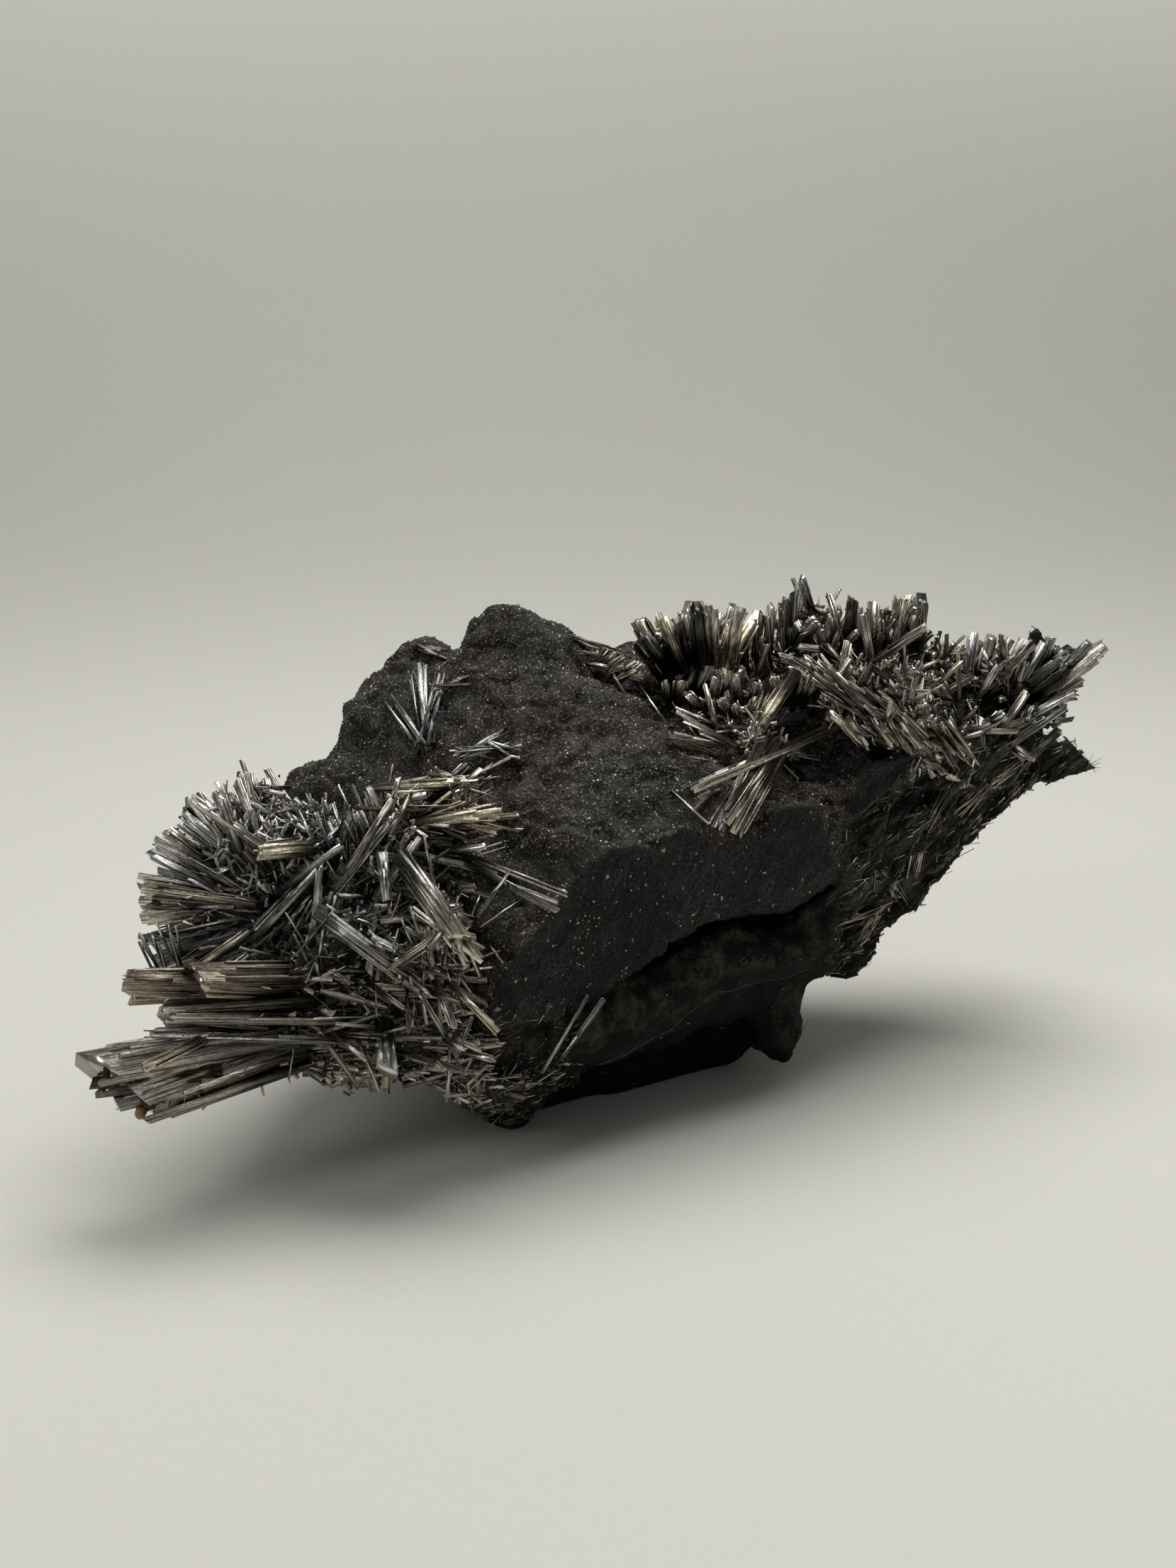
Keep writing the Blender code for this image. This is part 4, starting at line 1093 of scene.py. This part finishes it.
# Needles of the right-hand mass that can be told apart in the photograph.
RIGHT_TANGLE = seen_of(
    ((928, 955), (904, 873), 18, WARM, 0.6), ((960, 950), (928, 870), 18, BRASS, 0.8),
    ((936, 950), (895, 910), 15, STEEL, 0.2), ((965, 929), (943, 874), 8, STEEL, 0.2),
    ((973, 934), (957, 863), 8, STEEL, 0.4), ((1000, 950), (977, 854), 21, STEEL, 0.6),
    ((1013, 929), (999, 852), 12, WARM, 0.8), ((1024, 971), (1041, 862), 21, WARM, 0.8),
    ((1005, 982), (990, 918), 15, STEEL, 0.4), ((992, 1009), (995, 963), 11, WARM, 0.6),
    ((1043, 1003), (1036, 974), 5, WARM, 0.8), ((968, 931), (987, 907), 3, BRASS, 1.2),
    ((1011, 961), (997, 938), 4, WARM, 1), ((1043, 963), (1080, 950), 5, WARM, 1),
    ((954, 1014), (904, 969), 4, WARM, 1), ((1000, 1041), (947, 989), 4, WARM, 1),
    ((1027, 1057), (989, 1025), 6, STEEL, 0.8), ((1011, 1067), (949, 1042), 9, BRASS, 0.8),
    ((971, 1037), (941, 1029), 4, WARM, 0.8), ((1035, 1079), (973, 1069), 5, STEEL, 0.9),
    ((1024, 1060), (1000, 1030), 5, STEEL, 0.5), ((937, 1025), (955, 1017), 3, WARM, 0.8),
    ((1035, 1082), (961, 1117), 4, WARM, 0.8), ((1040, 1105), (984, 1127), 8, WARM, 0.6),
    ((1088, 955), (1051, 1054), 17, BRASS, 1.2), ((1085, 1078), (1045, 1129), 9, WARM, 1),
    ((1165, 1033), (1064, 1086), 11, WARM, 1.2), ((1081, 1053), (1128, 1102), 7, WARM, 0.8),
    ((1189, 1003), (1168, 1030), 3, BRASS, 0.8),
) + GAP_NEEDLES + seen_of(
    ((1058, 1068), (962, 1116), 4, STEEL, 0.8), ((946, 1116), (1001, 1164), 7, WARM, 0.5),
    ((1140, 852), (1131, 818), 16, STEEL, 0.6), ((1169, 910), (1183, 862), 10, BRASS, 1),
    ((1200, 924), (1207, 862), 5, BRASS, 1.2), ((1222, 929), (1217, 866), 13, STEEL, 0.6),
    ((1231, 934), (1308, 881), 13, WARM, 1.2), ((1322, 934), (1361, 895), 6, WARM, 1.2),
    ((1411, 895), (1416, 930), 10, WARM, 1.2), ((1414, 929), (1437, 987), 7, WARM, 1.2),
    ((1303, 924), (1361, 922), 3, STEEL, 1.2), ((1346, 1111), (1270, 1010), 7, WARM, 1.2),
    ((1361, 1111), (1308, 1020), 6, WARM, 1.2), ((1368, 1109), (1322, 1039), 4, STEEL, 1.4),
    ((1375, 1087), (1334, 1049), 4, STEEL, 1.4), ((1373, 1111), (1334, 1094), 10, BRASS, 1.2),
    ((1332, 1049), (1236, 972), 8, WARM, 1.2), ((1313, 1063), (1188, 962), 8, WARM, 1.2),
    ((1279, 1049), (1169, 962), 7, STEEL, 1.2), ((1246, 1068), (1169, 1006), 15, WARM, 1.2),
    ((1236, 1068), (1188, 1020), 12, BRASS, 1), ((1385, 1068), (1380, 1010), 15, STEEL, 0.8),
    ((1346, 1001), (1322, 958), 19, BRASS, 1), ((1432, 991), (1473, 909), 17, STEEL, 0.5),
    ((1452, 996), (1538, 906), 17, STEEL, 0.6), ((1466, 996), (1561, 911), 17, WARM, 0.9),
    ((1462, 991), (1549, 930), 14, STEEL, 0.7), ((1452, 1010), (1524, 957), 14, STEEL, 0.8),
    ((1428, 1030), (1517, 974), 14, STEEL, 0.5), ((1418, 946), (1459, 902), 7, WARM, 0.8),
    ((1426, 948), (1466, 907), 6, WARM, 0.8), ((1409, 946), (1447, 910), 6, WARM, 0.8),
    ((1471, 943), (1484, 898), 16, STEEL, 0.6), ((1442, 1077), (1495, 1029), 13, STEEL, 0.6),
    ((1428, 1049), (1505, 996), 12, STEEL, 0.4),
)

# The blades from the comb up to the highest crystals on the right.
RIGHT_ENDS = columns_of(
    ((15.4, 13.6, 42.5), (15, 12.4, 49.6), 1.2, WARM), ((16.2, 14.2, 42.5), (16.6, 13, 50.4), 1.4, BRASS),
    ((17, 13.4, 43), (16.4, 12.2, 50.9), 0.9, STEEL), ((17.6, 14.6, 43), (18.4, 13.4, 51.5), 1.3, WARM),
    ((18.4, 13.6, 43.5), (17.6, 12.6, 51), 1, WARM), ((19, 14.8, 43.5), (19.6, 13.6, 52.2), 1.5, STEEL),
    ((19.8, 13.8, 44), (19, 12.2, 51.4), 0.9, BRASS), ((20.4, 15, 44), (21.2, 14, 53), 1.4, WARM),
    ((21.2, 14, 44), (20.4, 12.8, 52.2), 1, WARM), ((21.8, 15.2, 44.5), (22, 14.2, 53.8), 1.6, STEEL),
    ((17.4, 12.6, 42.5), (19, 10.8, 48.6), 1, BRASS), ((19.6, 12.8, 42.5), (18, 10.8, 49.2), 1.1, WARM),
)

# The broad flat crystals at the front of the comb.
DARK_PLATES = columns_of(
    ((11.6, 8.6, 46.5), (10.9, 7.2, 53.4), 2.2, STEEL), ((10.2, 8.4, 46.5), (9, 7.2, 51.9), 1.2, WARM),
    ((8, 8.8, 46), (5.2, 7.8, 50.2), 1.6, STEEL),
)
LIGHT_PLATES = columns_of(
    ((13, 8.4, 46.5), (12.9, 7, 53.4), 1, WARM), ((14.6, 8.8, 46), (15.5, 7.4, 53), 1.8, WARM),
    ((9.6, 8.4, 46), (7.2, 7.2, 52.3), 1.6, BRASS), ((7.2, 8.8, 46.5), (4.4, 7.8, 51.9), 1, BRASS),
)

# Needles side by side in the right-hand mass, then the fans of its comb and of its right end.
RIGHT_ROWS = [
    Row((28, 3.2, 43.4), (36.8, 4.6, 38.4), (-0.78, 0.1, 0.62), 36, (5.5, 8.5), (0.5, 1), 0.66),
    Row((26, 5, 44.5), (33, 5, 42), (-0.75, 0.1, 0.5), 22, (4, 7), (0.5, 1), 0.66),
    Row((26.5, 3.4, 42.5), (32, 3.2, 41.4), (0.55, -0.25, -0.75), 14, (2.8, 4.2), (0.5, 1), WARM),
    Row((36, 4.6, 40.6), (38.5, 5.6, 41.4), (0.62, -0.05, -0.75), 9, (4.5, 6.5), (0.3, 0.7), BRASS),
    Row(
        (16.8, -2.6, 41), (18.4, -2.2, 40.8), (-0.40, -0.77, -0.49), 9, (11.6, 13.2), (0.35, 0.65), STEEL,
        0.04,
    ),
    Row((19, -2.4, 40.4), (20.2, -2, 40.2), (-0.48, -0.765, -0.43), 5, (12, 13.6), (0.7, 1.1), WARM, 0.03),
    Row((25.6, 0.8, 41.8), (25.8, 0.6, 41), (-0.78, -0.58, -0.13), 3, (18, 21), (0.5, 0.8), WARM, 0.03),
    Row((14, -2.5, 40.4), (15, -1.6, 40.2), (-0.75, -0.25, 0.35), 9, (5, 8), (0.3, 0.7), WARM),
    Row((10.5, 5, 42.4), (18, 7, 41.4), (-0.2, -0.35, 0.8), 12, (2, 3.4), (0.6, 1.4), WARM, 0.4, (0.5, 1)),
    Row((7, 9, 42), (18, 10, 41.5), (0, -0.25, 0.97), 14, (3, 5.5), (0.9, 2), WARM, 0.2, (0.5, 1)),
    Row((20, 7, 42.4), (28, 6, 43), (0.1, -0.25, 0.95), 16, (3, 6), (0.5, 1.5), WARM, 0.4),
    Row((21, 15.5, 46), (36, 18, 45.5), (0.1, -0.05, 1), 30, (3, 6.4), (0.9, 2.2), WARM, 0.5),
    Row(
        (25.5, 11.5, 47.2), (36.5, 14, 47), (0.1, -0.05, 1), 26, (4.2, 6.8), (0.6, 1.6), WARM, 0.5,
        (0.1, 0.85),
    ),
    Row((36, 18, 43), (49, 21, 39.5), (0.1, 0, 1), 24, (3, 6.4), (1, 2.2), WARM, 0.8),
    Row((24, 10, 45.5), (42, 12, 41), (0.2, -0.3, 0.9), 34, (2.5, 6), (0.5, 1.8), WARM, 0.8),
    Row((38, 9, 38), (46, 15, 37), (0.2, -0.35, 0.8), 20, (3, 6.5), (0.5, 1.6), WARM, 1),
    Row((45, 14, 35.8), (49, 18, 37), (0.7, 0.1, 0.6), 20, (3, 4.6), (0.7, 1.8), STEEL, 0.2, (0, 0.6)),
]

RIGHT_FANS = [
    Fan(
        (11.5, 11, 40), (-0.08, 0, 1), (0.1, -0.97, 0.2), 1.3, 11, (-0.1, 0.15), (11, 12.8), (1.9, 2.6),
        0.72, (0.25, 0.95), 1,
    ),
    Fan(
        (13, 16, 40), (-0.1, 0, 1), (0.1, -0.97, 0.2), 1.45, 13, (-0.3, 0.15), (10, 12), (1.7, 2.5), 0.62,
        (0.2, 0.9), 1,
    ),
    Fan(
        (45, 22, 37), (0.83, 0.2, 0.5), (0.2, -0.9, 0.1), 0.42, 28, (-0.4, 0.5), (9, 13.6), (1.6, 2.6),
        0.55, (0, 0.45), 1,
    ),
    Fan(
        (41, 21, 36), (0.62, 0.25, 0.72), (0.2, -0.9, 0.1), 0.6, 26, (-0.5, 0.5), (8, 10.4), (1.6, 2.6),
        0.6, (0.05, 0.6), 1,
    ),
]

# Small tufts that grow on the rock's top. Each column stands for a few finer needles.
TUFT_NEEDLES, TUFT_NEEDLE_WIDTH = 4, 0.6
TUFTS = {
    "shoulder_tuft": columns_of(
        ((-17.9, -2.6, 40.6), (-18, 5.6, 47.6), 1.2, STEEL),
        ((-18, -2.8, 40.8), (-22, 3.8, 44.4), 1, STEEL),
        ((-18.2, -2.6, 40.6), (-16.6, 3.6, 46.8), 0.9, STEEL),
        ((-18, -2.4, 40.6), (-19.6, 4.6, 46.2), 0.7, BLUE),
        ((-17, 2.4, 45.6), (-13.8, 2, 46.4), 0.8, WARM), ((-17.6, -2.2, 41), (-17.4, 2, 44.6), 1.2, BLUE),
        ((-20.3, 12, 48.2), (-16.3, 10.6, 47.4), 1.2, WARM),
    ),
    "slope_tuft": columns_of(
        ((-14.4, -7.2, 40.8), (-9.7, -5.6, 43.8), 0.9, STEEL),
        ((-11, -6, 42), (-8.1, -8, 41.4), 0.8, STEEL), ((-14.6, -7.4, 41.4), (-10.2, -7, 42.3), 0.8, BLUE),
        ((-12, -6, 42), (-14.8, -8, 41), 0.7, WARM),
    ),
    "ridge_tuft": columns_of(
        ((-3.8, 8, 48.4), (0, 7, 47.8), 1.1, BRASS), ((-3.1, 9, 50), (3.1, 8, 47.8), 1.1, WARM),
        ((-0.8, 7.6, 46.6), (1.4, 7.6, 48.6), 1.3, BRASS), ((-2, 8, 47.6), (1.6, 6.4, 46.4), 1.3, WARM),
        ((1, 7.4, 47), (5, 6.6, 45.6), 1.1, WARM), ((0.8, 7, 46.4), (3, 6.6, 48), 1.3, BRASS),
        ((2.2, 7, 46), (4.6, 6.4, 47.4), 1.2, BRASS),
    ),
}

BEAD_PLACE = (-43.4, -33.3, 13.1)
BEAD_RADIUS = 0.6

# What is strewn over each mass: over the parts of it between a low and a high corner.
Field = namedtuple(
    "Field", "low high count length width stand hue grain scatter tones", defaults=[(0.2, 1)],
)
ALL = ((-99, -99, -9), (99, 99, 99))
LEFT_FIELDS = [
    Field(*ALL, 2000, (1.2, 4), (0.12, 0.5), (-0.1, 0.3), WARM, (0, 0, 1), 9),
    Field((-30, -30, 25), (-17, -10, 38), 420, (3, 8), (0.2, 1), (-0.1, 0.15), STEEL, (0.5, -0.1, 0.8), 1.6),
    Field((-24, -30, 30), (-8, -10, 43), 420, (3, 8), (0.2, 1), (-0.1, 0.25), WARM, (1, -0.2, 0.2), 0.6),
    Field(
        (-22, -30, 20), (-8, -10, 32), 420, (3, 8.5), (0.2, 1.1), (-0.1, 0.3), WARM, (0.6, -0.2, -0.8),
        0.8, (0.3, 1),
    ),
    Field(
        (-36, -36, 8), (-8, -10, 24), 1100, (1.5, 6), (0.15, 1.1), (-0.1, 0.2), WARM, (1, -0.1, 0.12), 0.5,
        (0.3, 1),
    ),
    Field(
        (-38, -26, 30), (-27, -8, 42), 420, (2.5, 5.5), (0.2, 0.9), (-0.1, 0.25), STEEL, (-0.5, -0.2, 0.8),
        0.9, (0.4, 1),
    ),
    Field(
        (-40, -26, 22), (-30, -8, 32), 260, (2.5, 5.5), (0.2, 0.9), (-0.1, 0.15), STEEL,
        (-0.9, -0.1, 0.25), 0.5, (0.4, 1),
    ),
    Field((-46, -30, 18), (-28, 6, 44), 200, (2, 5), (0.12, 0.6), (-0.1, 0.2), STEEL, (-0.9, 0, 0.4), 0.6),
    Field(
        (-34, -32, 8), (-20, -16, 17.5), 260, (2, 4.2), (0.25, 0.8), (-0.1, 0.2), WARM, (0.35, -0.1, -0.9),
        0.6, (0, 0.6),
    ),
]
RIGHT_FIELDS = [
    Field((-99, -99, -9), (48, 99, 99), 2050, (0.8, 3.2), (0.3, 1.2), (-0.2, 0.4), WARM, (0, 0, 1), 9),
    Field((48, -99, -9), (99, 99, 45.2), 250, (0.8, 2.4), (0.3, 1.2), (-0.2, 0.2), WARM, (0.5, 0, 0.5), 1.2),
    Field((12, -2, 40), (46, 40, 60), 1000, (1.8, 6), (0.35, 1.6), (-0.1, 0.6), WARM, (0.3, 0, 1), 2.5),
    Field(
        (43, -2, 36), (62, 40, 44.2), 480, (1.6, 3.6), (0.3, 1.4), (-0.15, 0.1), STEEL, (0.8, 0.25, 0.4),
        0.4, (0, 0.65),
    ),
    Field(
        (34, -2, 32), (46, 40, 60), 620, (1.6, 5.5), (0.25, 1.5), (-0.15, 0.25), WARM, (-0.5, 0.1, 0.8),
        1.8,
    ),
    Field(
        (44, 6, 28), (54, 34, 42), 600, (1, 2.4), (0.2, 0.7), (-0.2, 0.05), WARM, FIBRE_WAY, 0.4, (0, 0.6),
    ),
    Field(
        (6, -4, 36), (22, 9, 42.6), 420, (1.5, 4.5), (0.25, 1), (-0.1, 0.2), WARM, (-0.6, -0.2, 0.5), 0.9,
        (0.2, 0.9),
    ),
    Field((18, -2, 34), (40, 14, 46), 620, (2, 8), (0.2, 0.8), (-0.1, 0.25), WARM, (-0.75, 0.1, 0.6), 0.35),
]


def within(low, high):
    """Whether points lie in the box between a low and a high corner."""
    low, high = np.array(low, float), np.array(high, float)
    return lambda points, normals: np.all((points > low) & (points < high), axis=1).astype(float)


# The ground between the needles ends at this x on the right, and this much farther out at its top.
CORE_EDGE, CORE_OVERHANG = 54.6, 4.0


def make_core(node, name, inset, material):
    """The ground between the needles: the CAD mass pared back and roughened."""
    mesh = remeshed(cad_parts[node].data, 0.5)
    points, normals = to_working(mesh_points(mesh)), mesh_normals(mesh)
    points -= normals * inset
    edge = CORE_EDGE + CORE_OVERHANG * smooth_step(points[:, 2], 38.5, 43.5)
    points[:, 0] = np.minimum(points[:, 0], edge)
    move_points(mesh, points)
    mesh = remeshed(mesh, 0.6, 2)
    points, normals = to_working(mesh_points(mesh)), mesh_normals(mesh)
    move_points(mesh, points + normals * (0.5 * noise_of(points, 1.6, 3, 4))[:, None])
    mesh.shade_smooth()
    mesh.materials.clear()
    mesh.materials.append(material)
    core = link(name, mesh)
    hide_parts(node)
    return core


COLUMN_TONES, TANGLE_TONES = (0.5, 0.8), (0.5, 1.0)
TANGLE_SWELL = 1.15  # needles are drawn this much wider than they are read from the photograph
BLADE_WIDTH = 0.7  # strewn crystals that may be wider than this are blades, the others hairs


def make_crystals(side, columns, tangle, rows, fans, fields, rock, core, metal, ends):
    """All the crystals of one mass; ends are lists of columns with their tones."""
    rng = np.random.default_rng(SEEDS[side])
    thick, blades, hairs = Needles(6), Needles(4), Needles(3)
    grounds = [surface_tree(core), surface_tree(rock)]
    solids = [surface_tree(node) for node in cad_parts.values()]
    for column in columns:
        add_bundle(thick, planted(column, grounds), rng, 0.1, COLUMN_TONES)
    for needle in tangle:
        column = traced(needle, solids) if isinstance(needle, Seen) else needle
        wider = column._replace(width=column.width * TANGLE_SWELL)
        add_bundle(blades, planted(wider, grounds), rng, 0.06, TANGLE_TONES)
    for row in rows:
        add_row(blades, row, rng)
    for fan in fans:
        add_fan(blades, hairs, fan, rng)
    for field in fields:
        needles = blades if field.width[1] > BLADE_WIDTH else hairs
        add_strewn(needles, core, rng, within(field.low, field.high), *field[2:])
    for group, tones in ends:
        for column in group:
            add_bundle(thick, column, rng, 0.1, tones)
    thick.build(side + "_columns", metal)
    blades.build(side + "_blades", metal)
    hairs.build(side + "_hairs", metal)


LIP_STEP, LIP_GAP = 0.45, 1.2  # how long a lip's pieces are, and where it breaks off
LIP_START, LIP_REACH = 8.0, 15.0  # where a lip is looked for: from this far before the front, this deep


def add_lip(chips, tree, outline, rng):
    """A thin pale lip along a line of the cleaved front, laid on whatever surface lies under it."""
    corners = np.array(outline, float)
    spans = np.linalg.norm(np.diff(corners, axis=0), axis=1)
    reach = np.arange(0, spans.sum(), LIP_STEP)
    places = np.concatenate([[0], np.cumsum(spans)])
    line = np.stack([np.interp(reach, places, corners[:, k]) for k in (0, 1)], axis=1)
    line += rng.normal(size=line.shape) * 0.07
    laid = []
    for start in to_frame(on_front(line) + FRONT_NORMAL * LIP_START):
        hit = tree.ray_cast(start, -FRONT_NORMAL, LIP_REACH * MM)[0]
        if hit is not None:
            laid.append(to_working(hit))
    laid = np.array(laid)
    near = np.linalg.norm(np.diff(laid, axis=0), axis=1) < LIP_GAP
    wide = rng.uniform(0.08, 0.24, near.sum())
    chips.add(laid[:-1][near], laid[1:][near], wide, wide, 0.5, rng.uniform(0.5, 1.0, near.sum()), rng)


def make_crust(rock, left, right):
    """Dull chips caught among the crystals, and thin lips along the rock's broken edges."""
    rng = np.random.default_rng(SEEDS["crust"])
    chips = Needles(5)
    for ground, keep, count in (
        (left, within((-34, -36, 6), (-4, -8, 22)), 1000),
        (left, within((-40, -30, 18), (-10, 0, 36)), 400),
        (right, within((8, -4, 36), (60, 30, 60)), 900),
        (rock, foot_ground, 500),
        (rock, broken_ground, 700),
    ):
        add_strewn(chips, ground, rng, keep, count, (0.4, 1.5), (0.15, 0.75), stand=(-0.3, 0.3), hue=0.5)
    add_strewn(
        chips, rock, rng, flank_ground, 1500, (0.6, 2.0), (0.15, 0.7), stand=(-0.2, 0.05), hue=0.5,
        grain=FIBRE_WAY, scatter=0.45,
    )
    tree = surface_tree(rock)
    for outline in LIPS:
        add_lip(chips, tree, outline, rng)
    chips.build("crust", crust_material())


def make_bead():
    """An amber bead stuck to the end of the lowest crystals."""
    bm = bmesh.new()
    bmesh.ops.create_icosphere(bm, subdivisions=3, radius=BEAD_RADIUS * MM)
    mesh = bpy.data.meshes.new("bead")
    bm.to_mesh(mesh)
    bm.free()
    points = mesh_points(mesh)
    points += unit(points) * (0.12 * MM * noise_of(points / MM, 0.6, 2, 12))[:, None]
    mesh.vertices.foreach_set("co", (points + to_frame(BEAD_PLACE)).astype(np.float32).ravel())
    mesh.shade_smooth()
    mesh.materials.append(bead_material())
    link("bead", mesh)


def make_tufts(rock, metal):
    """The tufts on the rock's top, a few fine needles for each of their columns."""
    rng = np.random.default_rng(SEEDS["tufts"])
    grounds = [surface_tree(rock)]
    for name, columns in TUFTS.items():
        needles = Needles(4)
        for column in columns:
            for _ in range(TUFT_NEEDLES):
                near = np.array(column.root) + rng.normal(size=3) * 0.3
                far = np.array(column.tip) + rng.normal(size=3) * 0.5
                thin = column._replace(root=near, tip=far, width=column.width * TUFT_NEEDLE_WIDTH)
                add_bundle(needles, planted(thin, grounds), rng, 0.1, TANGLE_TONES)
        obj = needles.build(name + "_needles", metal)
        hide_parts(name)


# ---------------------------------------------------------------- stage, light and camera


def make_stage():
    """A sheet of pale paper that lies flat and then sweeps up behind."""
    near, flat, radius, height, half_width, steps = -0.9, 0.20, 0.42, 1.0, 1.4, 24
    profile = [(near, 0.0), (flat, 0.0)]
    for i in range(1, steps + 1):
        turn = math.pi / 2 * i / steps
        profile.append((flat + math.sin(turn) * radius, radius - math.cos(turn) * radius))
    profile.append((flat + radius, height))
    bm = bmesh.new()
    rows = [[bm.verts.new((x, y, z)) for y, z in profile] for x in (-half_width, half_width)]
    for i in range(len(profile) - 1):
        bm.faces.new((rows[0][i], rows[1][i], rows[1][i + 1], rows[0][i + 1]))
    mesh = bpy.data.meshes.new("paper")
    bm.to_mesh(mesh)
    bm.free()
    mesh.shade_smooth()
    mesh.materials.append(paper_material())
    obj = new_object("paper", mesh)


# Rectangular lamps in frame metres, with their power in watts and their spread in degrees.
Lamp = namedtuple("Lamp", "name place target size power spread")
LAMPS = [
    Lamp("overhead", (0.06, 0.10, 0.47), (0.0, -0.03, 0), (0.44, 0.32), 0.98, 115),
    Lamp("backdrop", (0.0, 0.34, 0.62), (0, 0.58, 0.26), (1.0, 0.06), 0.86, 80),
    Lamp("window", (-0.38, -0.36, 0.36), (-0.01, -0.01, 0.03), (0.14, 0.2), 0.5, 180),
]
ROOM_COLOUR, ROOM_STRENGTH = (0.97, 0.98, 1.0, 1.0), 0.19


def add_lamp(lamp):
    data = bpy.data.lights.new(lamp.name, "AREA")
    data.shape = "RECTANGLE"
    data.size, data.size_y = lamp.size
    data.energy = lamp.power
    data.spread = math.radians(lamp.spread)
    obj = new_object(lamp.name, data)
    obj.location = lamp.place
    obj.rotation_euler = (Vector(lamp.target) - Vector(lamp.place)).to_track_quat("-Z", "Y").to_euler()


def make_lights():
    world = bpy.data.worlds.new("room")
    world.use_nodes = True
    background = world.node_tree.nodes["Background"]
    background.inputs["Color"].default_value = ROOM_COLOUR
    background.inputs["Strength"].default_value = ROOM_STRENGTH
    bpy.context.scene.world = world
    for lamp in LAMPS:
        add_lamp(lamp)
    bpy.context.scene.view_settings.view_transform = "Standard"


def make_camera():
    data = bpy.data.cameras.new("camera")
    data.sensor_width = SENSOR_WIDTH
    data.lens = FOCAL_PIXELS * data.sensor_width / max(PICTURE)
    data.clip_start = NEAREST_SHOWN
    obj = new_object("camera", data)
    obj.location = to_frame(CAMERA_PLACE)
    obj.rotation_euler = (math.pi / 2 - CAMERA_DOWN, 0, 0)
    bpy.context.scene.camera = obj


make_camera()
rock = make_rock()
make_grains(rock)
metal = crystal_material()
make_fibres(rock, metal)
root = core_material()
left_core = make_core("left_crystals", "left_roots", 0.5, root)
right_core = make_core("right_crystals", "right_roots", 0.4, root)
make_crystals(
    "left", LEFT_COLUMNS, LEFT_TANGLE, LEFT_ROWS, LEFT_FANS, LEFT_FIELDS, rock, left_core, metal,
    [(LEFT_ENDS, (0.15, 0.5))],
)
make_crystals(
    "right", RIGHT_COLUMNS, RIGHT_TANGLE, RIGHT_ROWS, RIGHT_FANS, RIGHT_FIELDS, rock, right_core, metal,
    [(RIGHT_ENDS, (0.15, 0.6)), (DARK_PLATES, (0.0, 0.2)), (LIGHT_PLATES, (0.7, 1.0))],
)
make_crust(rock, left_core, right_core)
make_bead()
make_tufts(rock, metal)
make_stage()
make_lights()
